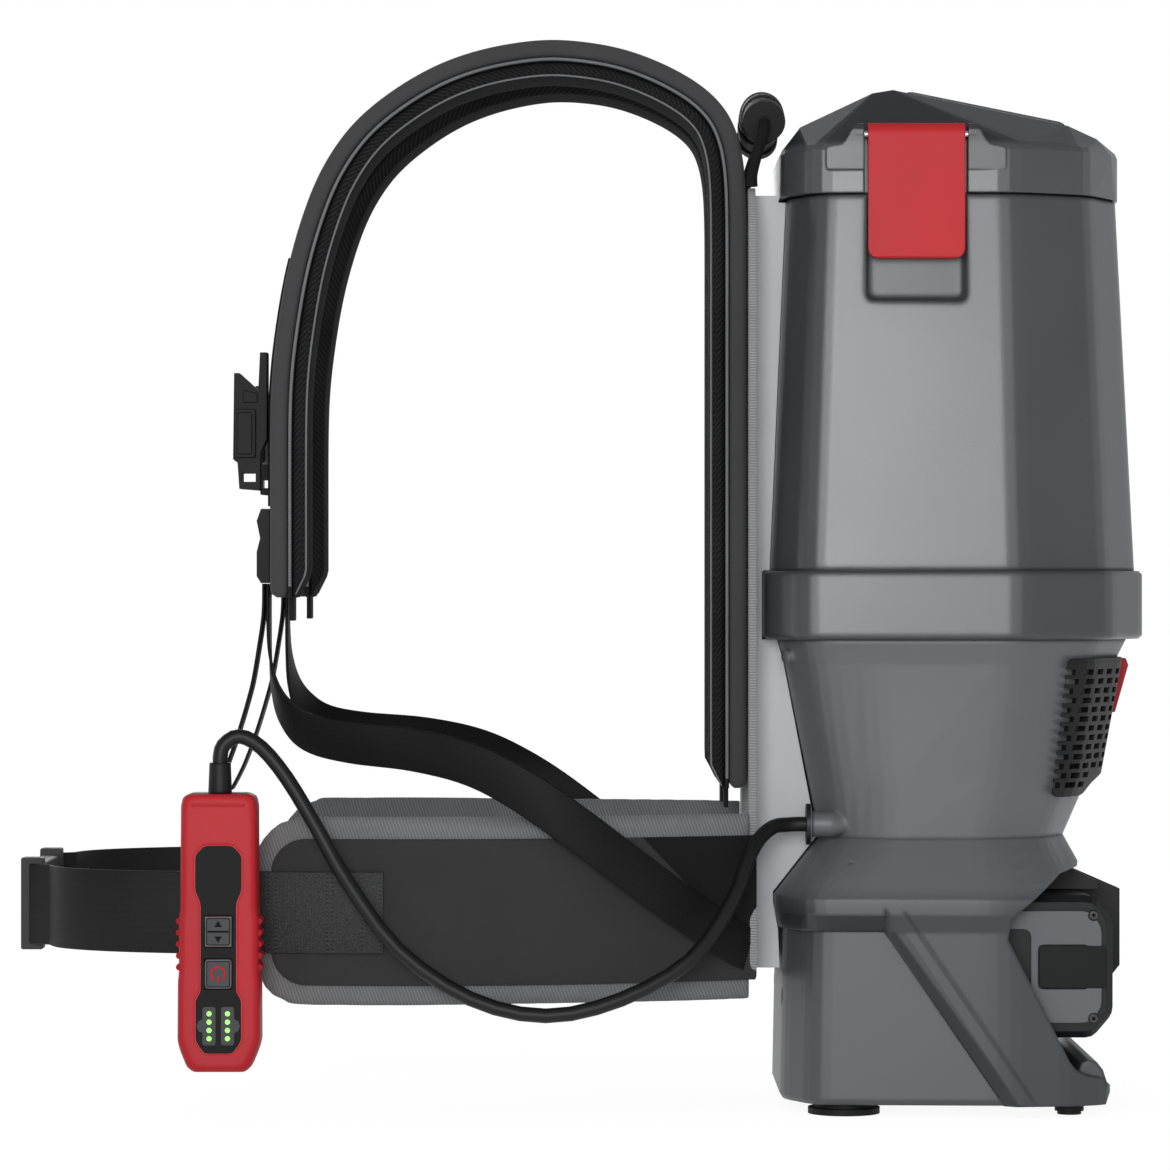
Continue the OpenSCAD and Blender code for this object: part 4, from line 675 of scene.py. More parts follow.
def strap_side(x):
    """How far from the middle the strap lies, x from the back plate."""
    return NECK_Y + (CHEST_Y - NECK_Y) * min(1, max(0, -x / STRAP_REACH)) ** 1.6


strap_places = [(BACK_X + x, strap_side(x), PLATE_TOP + z) for x, z in strap_pts]
strap_line = eased(smooth_line(strap_places, 6), 12)
strap_run = run_of(strap_line)
print("strap", round(strap_run[-1]), "mm long")

# %% [markdown]
# ## The strap's layers
# A strap has an outer pad of foam in canvas, a stiff webbing core whose grey edge shows
# as a line of piping, and a thick lining of spacer mesh against the body. The lining's
# outer edge has one more grey seam. One block with painted edges would do from afar. Each
# layer is its own skin, because they differ in cloth and width, and because the line of
# shadow between them is what tells a sewn strap from a moulded one.
# %% Outlines of the layers
STRAP_T, CORE_T, MESH_T = 10.6, 2.6, 8.6
CORE_A = STRAP_T + SEAT
MESH_A = CORE_A + CORE_T + SEAT
PAD_HALF, CORE_HALF, MESH_HALF, TONGUE_HALF = 30, 29.6, 28.5, 14
PAD_END, MESH_END = 6, 14       # how far the pad rounds off and the lining tapers
PAD_END_SHARE, MESH_END_SHARE = 0.35, 0.1       # what is left of their thickness there
PAD_CREASE = STRAP_T * 0.62     # the depth at which a rounded end of the pad closes


def ends_in(i, run, reach):
    """1 along the middle of a strap, falling towards 0 at both ends, as a padded end does."""
    to_end = min(run[i], run[-1] - run[i])
    return math.sqrt(max(0.0, 1 - max(0.0, 1 - to_end / reach) ** 2))


def pad_outline(i):
    full = ends_in(i, strap_run, PAD_END)
    share = PAD_END_SHARE + (1 - PAD_END_SHARE) * full
    half = PAD_HALF - 2.5 * (1 - full)
    return [(p[0], PAD_CREASE + (p[1] - PAD_CREASE) * share)
            for p in rounded(half, 0, STRAP_T, 3.2, crown=0.9)]


def thickness(i):
    """The lining's share of its full thickness, less near both ends."""
    to_end = min(strap_run[i], strap_run[-1] - strap_run[i])
    return min(1.0, MESH_END_SHARE + (1 - MESH_END_SHARE) * to_end / MESH_END)


def mesh_outline(i):
    return [(p[0], MESH_A + (p[1] - MESH_A) * thickness(i))
            for p in rounded(MESH_HALF, MESH_A, MESH_A + MESH_T, 3.6)]


def seam_outline(i):
    """The seam keeps to the lining's outer edge, also where the lining tapers."""
    return bead(MESH_HALF - 0.8, MESH_A + (MESH_T - 0.9) * thickness(i + 1), 0.6)


# the core runs on past both ends of the pad as a narrow tongue, of three points each
TONGUE_POINTS = 3
first, last = ways(strap_line)[0], ways(strap_line)[-1]
core_line = np.vstack([[strap_line[0] - first * t for t in (12, 11.2, 0.4)], strap_line,
                       [strap_line[-1] + last * t for t in (0.4, 12.7, 13.5)]])


def core_outline(i):
    to_end = min(i, len(core_line) - 1 - i)
    half = TONGUE_HALF if to_end < TONGUE_POINTS else CORE_HALF
    if to_end == 0:
        half -= 1
    return rounded(half, CORE_A, CORE_A + CORE_T, 1.2, count=2)


print("layers", round(MESH_A + MESH_T, 1), "mm thick in all")

# %% Strap pieces
for side, flip in SIDES:
    pad = skin("shoulder_pad_" + side, lay(strap_line, pad_outline), pad_cloth,
               flip=flip)
    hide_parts("strap_" + side)
    core = skin("strap_core_band_" + side, lay(core_line, core_outline), core_cloth,
                flip=flip)
    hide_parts("strap_core_" + side)
    lining = skin("mesh_lining_" + side, lay(strap_line, mesh_outline), mesh_cloth,
                  flip=flip)
    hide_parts("strap_mesh_" + side)
    skin("inner_piping_" + side, lay(strap_line[1:-1], seam_outline), piping_cloth,
         flip=flip)
    for edge in (-1, 1):
        along_edge = bead(edge * (CORE_HALF - 0.3), CORE_A + CORE_T / 2, 0.9)
        skin("outer_piping_%s_%d" % (side, edge), lay(strap_line[3:-3], along_edge),
             piping_cloth, flip=flip)
print("straps made")

# %% [markdown]
# ## Hip pads
# Each pad is a long pillow that bows round the waist. A pillow is easiest to build from
# its outline inwards: rings that shrink towards the middle, each standing a little
# prouder, make the round edge, and the bow is added last. A bevelled cube would have a
# round edge too, but faces too long to bow.
# %% The bow and the outline
HIP_OUT, HIP_X0 = 126, -100         # how far out the pad lies where it is furthest out
HIP_END, HIP_Z = -190.5, 120.6      # its front end, and the height of its middle
HIP_T, HIP_H = 15, 108
HIP_IN = 46                         # how much nearer the middle it lies at the back plate
HIP_BOW = HIP_IN / (BACK_X - HIP_X0) ** 2
CORNER_STEPS, SIDE_STEPS = 12, 16


def hip_at(x, out):
    """The point of the pad's middle line at x, moved outwards by out."""
    slope = 2 * HIP_BOW * (x - HIP_X0)
    n = np.array([slope, 1.0]) / math.hypot(slope, 1)
    return np.array([x, HIP_OUT - HIP_BOW * (x - HIP_X0) ** 2]) + out * n


def frame_line(x0, x1, half, front, rear, inset):
    """A rounded frame in X and Z, moved inwards by inset. x0 is its end at the back plate,
    and front and rear are the corner radii at x1 and at x0."""
    arcs = ((x1, -half, front, 180), (x0, -half, rear, 270),
            (x0, half, rear, 0), (x1, half, front, 90))
    corners = []
    for x, z, radius, start in arcs:
        r = max(radius - inset, 0.6)
        inside = inset + r
        # the end at the back plate is square, so it keeps its place
        cx = x + (inside if x == x1 else -r)
        cz = z + (inside if z < 0 else -inside)
        turns = [math.radians(start + 90 * k / CORNER_STEPS) for k in range(CORNER_STEPS + 1)]
        corners.append([(cx + r * math.cos(t), cz + r * math.sin(t)) for t in turns])
    out = []
    for c, arc in enumerate(corners):
        out += arc
        end, begin = np.array(arc[-1]), np.array(corners[(c + 1) % 4][0])
        out += [tuple(end + (begin - end) * k / SIDE_STEPS) for k in range(1, SIDE_STEPS)]
    return out


print("the pad ends", round(hip_at(BACK_X, 0)[1]), "mm from the middle, at the back plate")


# %% The pillow
def pillow(x0, x1, half, front, rear, bottom, top, edge, steps=7):
    """Rings of a pillow from its inner face to its outer face, and the cloth places. edge is
    how far in from the outline the face is full, and steps the number of rings there."""
    middle, thick = (bottom + top) / 2, (top - bottom) / 2
    insets = [half - 2, half * 0.55]
    insets += [edge * (1 - math.cos(math.pi / 2 * k / steps)) for k in range(steps, -1, -1)]
    levels = [(d, -1) for d in insets] + [(d, 1) for d in insets[::-1][1:]]
    rings, places = [], []
    for d, face in levels:
        lift = face * thick * math.sqrt(max(0.0, 1 - (1 - min(d, edge) / edge) ** 2))
        outline = frame_line(x0, x1, half, front, rear, d)
        rings.append([(*hip_at(x, middle + lift), HIP_Z + z) for x, z in outline])
        places.append([(x, z + face * 400) for x, z in outline])
    return rings, places


PANEL_T = 3
PAD_X0 = BACK_X - 0.4
# the cover to be swollen starts a little long at the plate, where it is then pressed flat
spare = 6
pad_rings, pad_places = pillow(PAD_X0 + spare, HIP_END - spare / 8, HIP_H / 2 + spare / 4, 28, 1,
                               -HIP_T / 2 + 1, HIP_T / 2 - 1, 7)
panel_rings, panel_places = pillow(BACK_X - 0.6, HIP_END + 11.5, HIP_H / 2 - 12, 20, 1,
                                   HIP_T / 2 + 0.1, HIP_T / 2 + PANEL_T + SEAT, 3.0, steps=4)
# points i and 96 - i of a ring face each other, from -8, in the middle of the front end, to
# 48, in the middle of the end at the plate
FACING = (96, (-8, 48))
print("a pad has", len(pad_rings), "rings of", len(pad_rings[0]), "points")

# %% [markdown]
# ## Swelling the pads
# Foam pushes its cover out between the seams, and a cloth simulation with pressure gives
# that fullness better than a drawn curve. The skin is first remeshed, because cloth needs
# points that lie evenly. A free bag would turn into a balloon, so the cloth runs for a
# short time only, and each point then moves mostly outwards and by a few millimetres: the
# seam round the real pad holds the outline in the same way.
# %% Modifiers and points
def apply_to(piece, kind, **settings):
    """Add a modifier with its settings, and apply it."""
    bpy.context.view_layer.objects.active = piece
    modifier = piece.modifiers.new(kind.lower(), kind)
    for key, value in settings.items():
        setattr(modifier, key, value)
    bpy.ops.object.modifier_apply(modifier=modifier.name)


def points_of(piece):
    """The places of a mesh's points, in metres."""
    points = np.empty(len(piece.data.vertices) * 3)
    piece.data.vertices.foreach_get("co", points)
    return points.reshape(-1, 3)


print("modifiers ready")

# %% Swelling
SWELL = 2.5
VOXEL = 0.0045
PRESSURE = 4
LAST_FRAME = 20
CALMING = 4
SHARE_ALONG = 0.03      # how much of its movement along the face a point keeps


def swell(piece, side):
    """Let a closed cover swell with its filling, and keep its outer face under the panel that
    is sewn to it. side is 1 on the right and -1 on the left."""
    piece.select_set(True)
    apply_to(piece, "REMESH", mode="VOXEL", voxel_size=VOXEL)
    apply_to(piece, "SMOOTH", iterations=CALMING)
    rest = points_of(piece)
    cover = piece.modifiers.new("cover", "CLOTH")
    cover.settings.use_pressure = True
    cover.settings.uniform_pressure_force = PRESSURE
    cover.settings.effector_weights.gravity = 0
    for moment in range(1, LAST_FRAME + 1):
        bpy.context.scene.frame_set(moment)
    bpy.ops.object.modifier_apply(modifier=cover.name)
    bpy.context.scene.frame_set(1)
    step = points_of(piece) - rest
    slope = 2 * HIP_BOW * (rest[:, 0] / MM - HIP_X0)
    outwards = unit(np.column_stack([slope, np.full(len(rest), float(side)), np.zeros(len(rest))]))
    swelling = (step * outwards).sum(axis=1, keepdims=True) * outwards
    step = swelling + (step - swelling) * SHARE_ALONG
    length = np.linalg.norm(step, axis=1, keepdims=True)
    moved = rest + step * np.minimum(1, SWELL * MM / np.maximum(length, 1e-9))
    piece.data.vertices.foreach_set("co", moved.ravel())
    apply_to(piece, "SMOOTH", iterations=CALMING)
    keep_under(piece, side)
    apply_to(piece, "SUBSURF", levels=1, render_levels=1)
    bpy.ops.object.shade_smooth()
    bpy.ops.object.select_all(action="DESELECT")
    print(piece.name, len(rest), "points, moved up to", round(float(length.max()) / MM, 1), "mm")


def keep_under(piece, side):
    """Press what stands past the pad's outer face or its end at the plate back onto them."""
    points = points_of(piece)
    x, y = points[:, 0] / MM, points[:, 1] * side / MM
    slope = 2 * HIP_BOW * (x - HIP_X0)
    out = (y - HIP_OUT + HIP_BOW * (x - HIP_X0) ** 2) / np.hypot(slope, 1)
    extra = np.maximum(0, out - HIP_T / 2) * np.hypot(slope, 1)
    points[:, 1] -= extra * side * MM
    points[:, 0] = np.minimum(points[:, 0], PAD_X0 * MM)
    piece.data.vertices.foreach_set("co", points.ravel())


print("a pad swells by up to", SWELL, "mm")

# %% Pads and panels
for side, flip in SIDES:
    pad = skin("hip_cushion_" + side, pad_rings, hip_cloth, flip=flip,
               cloth=pad_places, facing=FACING)
    swell(pad, -1 if flip else 1)
    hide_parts("hip_pad_" + side)
    panel = skin("hip_panel_" + side, panel_rings, panel_cloth, flip=flip,
                 cloth=panel_places, facing=FACING)
    if side == "right":
        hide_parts("hip_panels")
print("hip pads made")

# %% [markdown]
# ## Waist webbing
# Nylon webbing is flat, keeps its width and only bends one way, so each piece is a thin strip
# carried along its own line. The waist webbing lies on the hip pad's bow, where it is sewn down,
# then leaves it and curves round to the buckle. A strip of simulated cloth would hang down and
# miss the buckle, so its line is given point by point.
# %% Waist webbing
BELT_HALF, BELT_T, BELT_SEWN = 23.5, 2.4, 75
BELT_OUT = HIP_T / 2 + SEAT + PANEL_T + SEAT
BUCKLE_X, BUCKLE_D, BUCKLE_HALF = -332.5, 13, 56
belt_free = [(-222, 133), (-258, 124), (-286, 109), (-305, 89), (-313, 66)]
sewn = [tuple(hip_at(HIP_END + BELT_SEWN - 10 * k, BELT_OUT)) for k in range(8)]
loose = smooth_line([tuple(hip_at(HIP_END - 4, BELT_OUT))] + belt_free, 4)
belt_plan = np.vstack([sewn, loose, [(BUCKLE_X + BUCKLE_D / 2, BUCKLE_HALF + SEAT)]])
belt_line = np.column_stack([belt_plan, np.full(len(belt_plan), HIP_Z)])
belt_rings = lay(belt_line, rounded(BELT_HALF, 0, BELT_T, 0.9, count=2), side=(0, 0, 1))
for (side, flip), body in zip(SIDES, ("vacuum", "buckle_male")):
    belt = skin("waist_webbing_" + side, belt_rings, belt_cloth, flip=flip,
                body=body)
    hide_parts("belt_" + side)
print("belt", round(run_of(belt_line)[-1]), "mm a side")

# %% [markdown]
# ## Straps that adjust
# Three strips meet at the ladder lock on each strap front. The rail comes down the pad to
# it, the tail hangs loose from it, and the lower strap runs from it to the foot of the
# back plate. On its way that one turns from lying flat on the chest to standing at the
# waist, so each of its points also carries the way that its width lies. A curve's tilt
# could do the same, but an angle is harder to read than a direction.
# %% Lower straps, rails and tails
WEB_HALF, RAIL_HALF = 12.5, 8
STRAP_END_Z = PLATE_TOP - STRAP_DROP
LOCK_X = BACK_X - STRAP_REACH - SEAT
RAIL_FROM, RAIL_TO, RAIL_END_Z = 126, 145, PLATE_TOP - 187     # points of the strap's line
lower_pts = [(LOCK_X - 1.3, CHEST_Y, STRAP_END_Z + 8, 0, 1, 0),
             (LOCK_X - 1.3, CHEST_Y, STRAP_END_Z - 15, 0, 1, 0),
             (LOCK_X - 0.5, CHEST_Y, STRAP_END_Z - 35, 0.05, 1, 0.05),
             (LOCK_X + 2.6, CHEST_Y + 1, STRAP_END_Z - 53, 0.2, 0.95, 0.2),
             (LOCK_X + 9.5, CHEST_Y + 4, STRAP_END_Z - 67.5, 0.35, 0.8, 0.5),
             (-161, 97, 222.5, 0.3, 0.5, 0.8), (-138, 106, 217, 0.15, 0.3, 0.9),
             (-100, 119, 213, 0, 0.15, 1), (-66, 132, 205, 0, 0.1, 1), (-36, 139, 190, 0, 0.1, 1),
             (-4, 137, 168, 0, 0, 1), (31, 126, 141, 0, 0, 1), (60, 113, 119, 0, 0, 1),
             (86, 98, 101, 0, 0, 1), (94.2, 92, 96.6, 0, 0, 1)]
tail_pts = [(-3, 8), (-3.4, -10), (-6.3, -30.5), (-9.2, -47.5), (-12, -59), (-17, -76), (-22, -91),
            (-28, -106), (-34.7, -119)]
tail_line = smooth_line([(LOCK_X + x, CHEST_Y, STRAP_END_Z + z) for x, z in tail_pts], 4)
rail_line = np.vstack([strap_line[RAIL_FROM:RAIL_TO],
                       [(BACK_X - STRAP_REACH, CHEST_Y, RAIL_END_Z)]])
lower_rings = twisting(lower_pts, rounded(WEB_HALF, -0.9, 0.9, 0.8, count=2))
tail_rings = lay(tail_line, rounded(WEB_HALF, -1.6, 0, 0.7, count=2))
rail_rings = lay(rail_line, rounded(RAIL_HALF, -1.8, -0.3, 0.6, count=2))
for side, flip in SIDES:
    lower = skin("lower_webbing_" + side, lower_rings, webbing_cloth, flip=flip)
    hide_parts("lower_strap_" + side)
    skin("tail_webbing_" + side, tail_rings, webbing_cloth, flip=flip)
    rail = skin("rail_webbing_" + side, rail_rings, webbing_cloth, flip=flip)
    if side == "right":
        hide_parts("strap_webbing")
print("tail", round(run_of(tail_line)[-1]), "mm, rail", round(run_of(rail_line)[-1]), "mm")

# %% [markdown]
# ## Chest strap
# The chest webbing runs straight from each bracket to the buckle, and slides up and down
# with them, so it rides on their body. A stretched cube would have its shape, but no map
# for the weave, so it is a strip like the others, with a dozen rings.
# %% Chest webbing
CHEST_X, CHEST_Z = -196.9, 396.3
BUCKLE_SIDE, BRACKET_SIDE = 22.3, 81.7
chest_line = [(CHEST_X, y, CHEST_Z) for y in np.linspace(BUCKLE_SIDE, BRACKET_SIDE, 12)]
chest_rings = lay(np.array(chest_line), rounded(WEB_HALF, 0, 1.8, 0.7, count=2), side=(0, 0, 1))
for side, flip in SIDES:
    chest = skin("chest_webbing_" + side, chest_rings, webbing_cloth, flip=flip,
                 body="sternum")
    if side == "right":
        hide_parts("sternum_strap")
print("chest strap", round(2 * BRACKET_SIDE), "mm between its brackets")

# %% [markdown]
# ## Handle rope
# The carry grip hangs on a short rope whose ends go into the top of the back plate. A
# bevelled curve would give the same tube. Here it is the same kind of skin as webbing,
# with a round outline, because its map in metres lets the yarns lie at a true slant.
# %% Rope
GRIP_X, GRIP_Z = BACK_X + 9.4, PLATE_TOP + 39.5
ROPE_X, ROPE_Y, ROPE_R = BACK_X + 2, 71, 3.3
rope_pts = [(GRIP_X, 62.5, GRIP_Z - 1), (GRIP_X - 0.5, 68, GRIP_Z - 7),
            (GRIP_X - 4, ROPE_Y, GRIP_Z - 18), (ROPE_X, ROPE_Y, PLATE_TOP + 8),
            (ROPE_X, ROPE_Y, PLATE_TOP + SEAT)]
rope_line = smooth_line(rope_pts, 5)
for side, flip in SIDES:
    rope = skin("handle_rope_" + side, lay(rope_line, bead(0, 0, ROPE_R, 12), side=(1, 0, 0)),
                rope_cloth, flip=flip)
    if side == "right":
        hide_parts("handle_rope")
print("rope ends", round(run_of(rope_line)[-1]), "mm")

# %% [markdown]
# ## The remote's cord
# The cord leaves a gland on the motor housing, hangs in one wide loop outside the hip pad
# and comes up to the top of the remote. A skin would look the same, but it is a cord of
# one length, and a curve with a round bevel says how long and how thick it is. Its line is
# the same as in the solids.
# %% Cord
CORD_D = 8.6
cord_pts = [(128.5, -76, 168.3), (124, -76, 168.3), (117, -77.5, 168), (109, -84, 167),
            (100, -95, 160), (93, -107, 148), (84, -121, 126), (60, -138, 94), (20, -148, 72),
            (-23, -152, 63), (-66, -154, 73), (-107, -155, 101), (-136, -155, 140),
            (-153, -154, 170), (-170, -153, 198), (-184.5, -152.5, 215.5), (-197, -152.5, 222),
            (-206, -152.5, 217), (-208, -152.5, 210), (-208, -152.5, 207)]
# its first and last stretch are straight, inside the gland and inside the sleeve
cord_line = np.vstack([cord_pts[:1], smooth_line(cord_pts[1:-1], 3), cord_pts[-1:]]) * MM
rubber = Finish("cord_rubber")
dust = rubber.noise(40, 3)
cord_rubber = rubber.surface(Base_Color=rubber.blend(dust, tint("090909"), tint("111112")),
                             Roughness=0.42 + dust * 0.12, Specular_IOR_Level=0.3,
                             Normal=rubber.bump(rubber.noise(1500), 0.00003))
bpy.ops.curve.primitive_bezier_curve_add(location=(0, 0, 0))
cord = bpy.context.object
cord.name = "remote_lead"
cord.data.splines.clear()
spline = cord.data.splines.new("POLY")
spline.points.add(len(cord_line) - 1)
for point, place in zip(spline.points, cord_line):
    point.co = (*place, 1)
cord.data.dimensions = "3D"
cord.data.bevel_depth = CORD_D / 2 * MM
cord.data.bevel_resolution = 6
cord.data.use_fill_caps = True
cord.data.materials.append(cord_rubber)
bpy.ops.object.shade_smooth()
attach(cord, "vacuum")
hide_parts("remote_cord")

# %% [markdown]
# ## Small hard details
# Printed signs and small lamps' surrounds could be an image on the case. As very flat
# solids, laid a hair above the face that carries them, they stay sharp in a close view, and
# they ride with the key or the case below them. All of them start as a cube, a cylinder or
# a plane, and the helpers do the rest.
# %% Plates and discs
def settle(name, material, body):
    """Name the piece just made, bring its place into its mesh, and let it ride on a body."""
    piece = bpy.context.object
    piece.name = name
    bpy.ops.object.transform_apply(location=True, rotation=True, scale=True)
    piece.data.materials.append(material)
    bpy.ops.object.shade_smooth_by_angle(angle=math.radians(35))
    bpy.ops.object.select_all(action="DESELECT")
    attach(piece, body)
    return piece


def plate(name, low, high, material, body, corner=0.0):
    """A block between two corners in millimetres, its outline in the side view rounded."""
    low, high = np.array(low) * MM, np.array(high) * MM
    bpy.ops.mesh.primitive_cube_add(size=1, location=tuple((low + high) / 2))
    bpy.ops.transform.resize(value=tuple(high - low))
    bpy.ops.object.transform_apply(location=True, rotation=True, scale=True)
    if corner:
        mesh = bpy.context.object.data
        bpy.ops.object.mode_set(mode="EDIT")
        bpy.ops.mesh.select_all(action="DESELECT")
        bpy.ops.mesh.select_mode(type="EDGE")
        bpy.ops.object.mode_set(mode="OBJECT")
        for edge in mesh.edges:
            a, b = (mesh.vertices[v].co for v in edge.vertices)
            edge.select = abs(a.x - b.x) + abs(a.z - b.z) < 1e-6
        bpy.ops.object.mode_set(mode="EDIT")
        bpy.ops.mesh.bevel(offset=corner * MM, segments=5, affect="EDGES")
        bpy.ops.object.mode_set(mode="OBJECT")
    return settle(name, material, body)


def disc(name, centre, radius, depth, sides, material, body, turn=90):
    """A short cylinder with its axis along Y; with three sides it is a triangle."""
    bpy.ops.mesh.primitive_cylinder_add(vertices=sides, radius=radius * MM, depth=depth * MM,
                                        location=tuple(np.array(centre) * MM),
                                        rotation=(math.radians(turn), 0, 0))
    return settle(name, material, body)


# %% A broken ring
def broken_ring(name, centre, radius, width, depth, gap, material, body):
    """A flat ring, open at its foot by gap degrees: half is spun from its top, then mirrored."""
    centre = tuple((np.array(centre) * MM).tolist())
    bpy.ops.mesh.primitive_plane_add(size=MM, location=centre)
    edit_all()
    bpy.ops.transform.resize(value=(width, depth, 1))
    bpy.ops.transform.rotate(value=math.pi / 2, orient_axis="Y", center_override=centre)
    bpy.ops.transform.translate(value=(0, 0, radius * MM))
    bpy.ops.mesh.spin(steps=18, angle=math.radians(180 - gap / 2), center=centre, axis=(0, 1, 0))
    bpy.ops.mesh.select_all(action="SELECT")
    bpy.ops.mesh.remove_doubles(threshold=0.00001)
    bpy.ops.object.mode_set(mode="OBJECT")
    apply_to(bpy.context.object, "MIRROR")
    edit_all()
    bpy.ops.mesh.normals_make_consistent(inside=False)
    bpy.ops.object.mode_set(mode="OBJECT")
    return settle(name, material, body)


print("plates, discs and a ring ready")

# %% [markdown]
# ## Signs on the remote
# The rocker shows an arrow up and an arrow down, and the button the usual broken ring with its
# bar. Each key has a dark line round its paler face, and round that line a pale rim that is a
# painted highlight on the key's edge. Two surrounds frame the lights.
# An arrow is a cylinder with three sides, the quickest triangle there is, and the ring is
# spun, because a torus can't be left open.
# %% Keys
REMOTE_X, PANEL_Y, REMOTE_Z = -208, -166, 111
ROCKER_Z, POWER_Z = REMOTE_Z + 1, REMOTE_Z - 23
KEY_HALF = 7.5
key_line = plastic("key_line", "161617", gloss=0.6, specular=0.1)
key_face = plastic("key_face", "3f4042", gloss=0.5, grain=0.00002, specular=0.2)
sign_black = plastic("sign_black", "0b0b0c", gloss=0.6, specular=0.1)
sign_red = plastic("sign_red", "b3262c", gloss=0.6, specular=0.1)
for name, z, half, y, body in (("rocker", ROCKER_Z, 8.5, PANEL_Y - 1.85, "speed_rocker"),
                               ("power", POWER_Z, 8.2, PANEL_Y - 1.65, "power_button")):
    for part, inset, proud, finish in (("line", 0.7, 0.1, key_line),
                                       ("face", 1.15, 0.2, key_face)):
        wide, high = KEY_HALF - inset, half - inset
        plate("%s_%s" % (name, part), (REMOTE_X - wide, y - proud, z - high),
              (REMOTE_X + wide, y + 0.1, z + high), finish, body, corner=1.6 - inset / 2)
print("two keys,", 2 * KEY_HALF, "mm wide")

# %% Signs
SIGN_Y = PANEL_Y - 2.1
BAR_HALF, ARROW_AWAY, ARROW_R = 5.9, 3.9, 2.4
RING_R, RING_WIDE, RING_GAP = 3.9, 1.2, 70
LAMPS_Z0, LAMPS_Z1 = REMOTE_Z - 63.4, REMOTE_Z - 41.6
plate("rocker_bar", (REMOTE_X - BAR_HALF, SIGN_Y - 0.15, ROCKER_Z - 0.5),
      (REMOTE_X + BAR_HALF, SIGN_Y + 0.1, ROCKER_Z + 0.5), sign_black, "speed_rocker")
for name, way in (("rocker_up", 1), ("rocker_down", -1)):
    disc(name, (REMOTE_X, SIGN_Y, ROCKER_Z + way * ARROW_AWAY), ARROW_R, 0.3, 3, sign_black,
         "speed_rocker", turn=90 * way)
broken_ring("power_ring", (REMOTE_X, PANEL_Y - 1.9, POWER_Z), RING_R, RING_WIDE, 0.3, RING_GAP,
            sign_red, "power_button")
plate("power_bar", (REMOTE_X - 0.55, PANEL_Y - 2.0, POWER_Z - 5.2),
      (REMOTE_X + 0.55, PANEL_Y - 1.7, POWER_Z - 1.2), sign_red, "power_button")
lamp_grey = plastic("lamp_surround", "4a4b4d", gloss=0.6, specular=0.1)
for side in (-1, 1):
    x0, x1 = sorted((REMOTE_X + side * 1.5, REMOTE_X + side * 9.0))
    plate("lamp_surround_%d" % side, (x0, PANEL_Y - 0.78, LAMPS_Z0),
          (x1, PANEL_Y - 0.5, LAMPS_Z1), lamp_grey, "vacuum", corner=1.4)
    disc("lamp_bump_%d" % side, (REMOTE_X + side * 8.2, PANEL_Y - 0.62, REMOTE_Z - 52.5), 4.2,
         0.3, 8, lamp_grey, "vacuum")
print("signs made")

# %% [markdown]
# ## The fascia's painted highlight
# Where the black fascia meets the red case, its moulded rim catches the light as a thin line. A
# pale red bead carried round the fascia's outline paints that highlight in, so it shows in every
# light, which a highlight on a sharp edge would not.
# %% Fascia edge
fascia_half = [(13, 44), (13, 24), (10, 17), (10, -33.5), (12.8, -37.5), (12.8, -61), (8, -68)]
fascia = fascia_half + [(-x, z) for x, z in fascia_half[::-1]] + [(-8, 49.5), (8, 49.5)]


def round_off(corners, reach):
    """A closed outline whose corners are rounded from reach before them to reach after."""
    corners = np.array(corners, float)
    out = []
    for k, corner in enumerate(corners):
        a = corner + reach * unit(corners[k - 1] - corner)
        b = corner + reach * unit(corners[(k + 1) % len(corners)] - corner)
        for t in (0, 0.25, 0.5, 0.75, 1):
            out.append(a * (1 - t) ** 2 + corner * 2 * t * (1 - t) + b * t * t)
    return out + out[:1]


# the pale red bead is a painted highlight on the fascia's rim
fascia_painted_highlight = plastic("fascia_highlight_bead", "cf4a50", gloss=0.4, grain=0.00001, specular=0.4)
edge_line = np.array([(REMOTE_X + 1.02 * x, PANEL_Y + 0.02, REMOTE_Z + z)
                      for x, z in round_off(fascia, 2)])
skin("fascia_highlight_bead", lay(edge_line, bead(0, 0, 0.3)), fascia_painted_highlight)
print("fascia edge", round(run_of(edge_line)[-1]), "mm round")

# %% [markdown]
# ## Battery details
# Each battery's cheek is held by two screws with a six-sided socket, and has a smoked
# window between them. The sockets could be cut into the screws, but at 2.4 mm across a dark
# hexagon on top reads the same. All ride on their own battery, because it pulls out.
# %% Battery screws and windows
BATTERY_OUT = 91
BAT_X1, BAT_Z0, BAT_H = 306.5, 44.6, 83
BATTERIES = ((-1, "battery_left"), (1, "battery_right"))
SCREW_IN = 11.5
screw_black = plastic("screw_black", "1a1a1b", gloss=0.35, grain=0.00001, specular=0.5)
window = plastic("smoked_window", "0c0d0e", gloss=0.4, grain=0.00001, specular=0.15)
for side, body in BATTERIES:
    for k, z in enumerate((BAT_Z0 + SCREW_IN, BAT_Z0 + BAT_H - SCREW_IN)):
        disc("cheek_screw_%s_%d" % (body, k), (BAT_X1 - SCREW_IN, side * (BATTERY_OUT + 0.1), z),
             2.7, 1.4, 24, screw_black, body)
        disc("cheek_socket_%s_%d" % (body, k), (BAT_X1 - SCREW_IN, side * (BATTERY_OUT + 0.75), z),
             1.2, 0.3, 6, sign_black, body)
for side, body in BATTERIES:
    inner, outer = sorted((side * BATTERY_OUT, side * (BATTERY_OUT + 2.1)))
    plate("battery_window_" + body, (BAT_X1 - 43.2, inner, BAT_Z0 + 29.2),
          (BAT_X1 - 4.2, outer, BAT_Z0 + 53.8), window, body, corner=3.0)
print("screws and windows made")

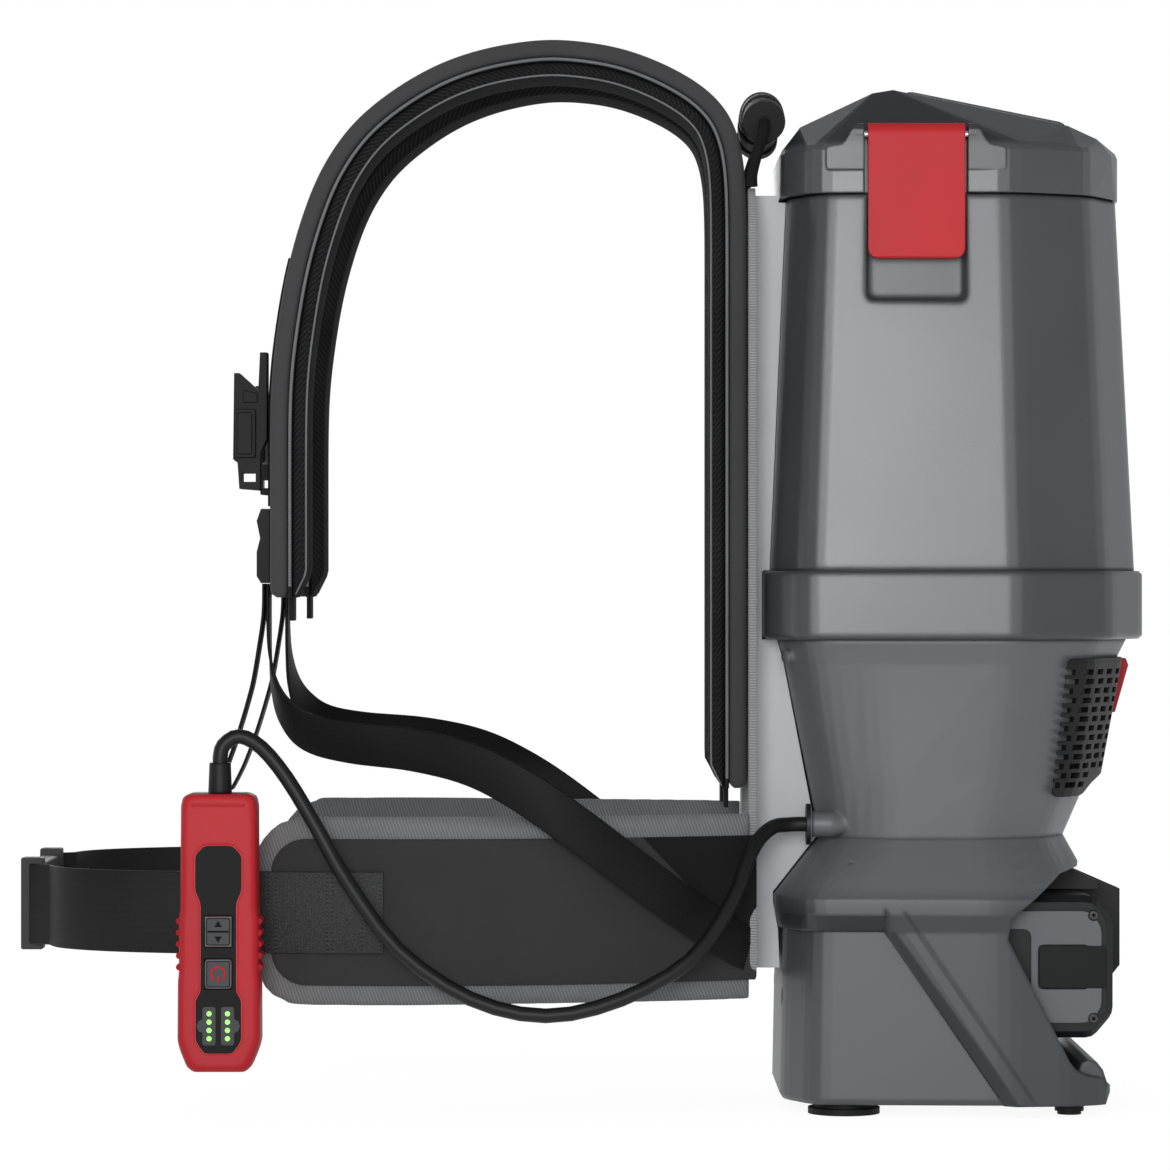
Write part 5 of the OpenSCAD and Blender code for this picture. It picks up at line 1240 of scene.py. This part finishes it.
# %% [markdown]
# ## Light
# A large soft box beside the camera gives the broad sheen on the near facets, and paler
# boxes at the sides and behind keep the other views readable. Small lamps would give hard
# spots on satin plastic: the size of a lamp sets how soft the edge of its sheen is.
# %% Lamps
MACHINE_MIDDLE = (0.0, 0.0, 0.3)


def softbox(name, place, size, power):
    """A square lamp that looks at the middle of the machine."""
    bpy.ops.object.light_add(type="AREA", location=place)
    lamp = bpy.context.object
    lamp.name = name
    lamp.data.shape = "RECTANGLE"
    lamp.data.size = lamp.data.size_y = size
    lamp.data.energy = power
    aim = Vector(MACHINE_MIDDLE) - Vector(place)
    lamp.rotation_euler = aim.to_track_quat("-Z", "Y").to_euler()


softbox("key", (-0.3, -3.3, 0.75), 1.3, 64)
softbox("top", (0.0, -0.8, 2.7), 1.8, 4)
softbox("behind", (-0.6, 3.2, 1.3), 1.8, 22)
softbox("left", (-2.6, 1.9, 0.9), 2.0, 9)
softbox("right", (2.9, 1.0, 0.9), 2.0, 5)

# %% [markdown]
# ## Ground and background
# The ground and the far background are white to the eye and in reflections, and the ground
# still takes the machine's shadow. More light would bleach the machine as well, so they
# are told apart by the kind of ray that meets them. The sky's ceiling is dark to gloss,
# as in a studio, so that faces that look straight up keep their depth.
# %% Sky and ground
def white_to_eye(f, mirrored):
    """1 for what the eye sees straight or through glass, mirrored for what gloss sees."""
    seen = f.node("LightPath", out="Is Camera Ray")
    in_gloss = f.node("LightPath", out="Is Glossy Ray")
    through_glass = f.node("LightPath", out="Is Transmission Ray")
    return seen + in_gloss * mirrored + through_glass


bpy.context.scene.world = bpy.data.worlds.new("studio")
air = Finish("studio", bpy.context.scene.world)
ceiling = air.parts_of(air.node("TexCoord", out="Generated"))[2].step(0.3, 0.85)
sky_colour = air.blend(white_to_eye(air, 0.35), (0.4, 0.4, 0.41, 1), (1, 1, 1, 1))
sky_strength = 1 - air.node("LightPath", out="Is Glossy Ray") * ceiling * 0.75
air.node("OutputWorld", None, air.node("Background", None, sky_colour, sky_strength))

ground = Finish("pale_ground")
shade = ground.node("BsdfDiffuse", None, (0.82, 0.82, 0.82, 1))
paper = ground.node("Emission", None, (1, 1, 1, 1), 1.15)
mixed = ground.node("MixShader", None, white_to_eye(ground, 0.9) * 0.8, shade, paper)
ground.node("OutputMaterial", None, mixed)
bpy.ops.mesh.primitive_circle_add(vertices=96, radius=2.4, fill_type="NGON", location=(0, 0, 0))
floor = bpy.context.object
floor.name = "floor"
floor.data.materials.append(ground.owner)
bpy.context.scene.view_settings.view_transform = "Standard"
print("studio ready")

# %% Finish
bpy.ops.object.select_all(action="DESELECT")
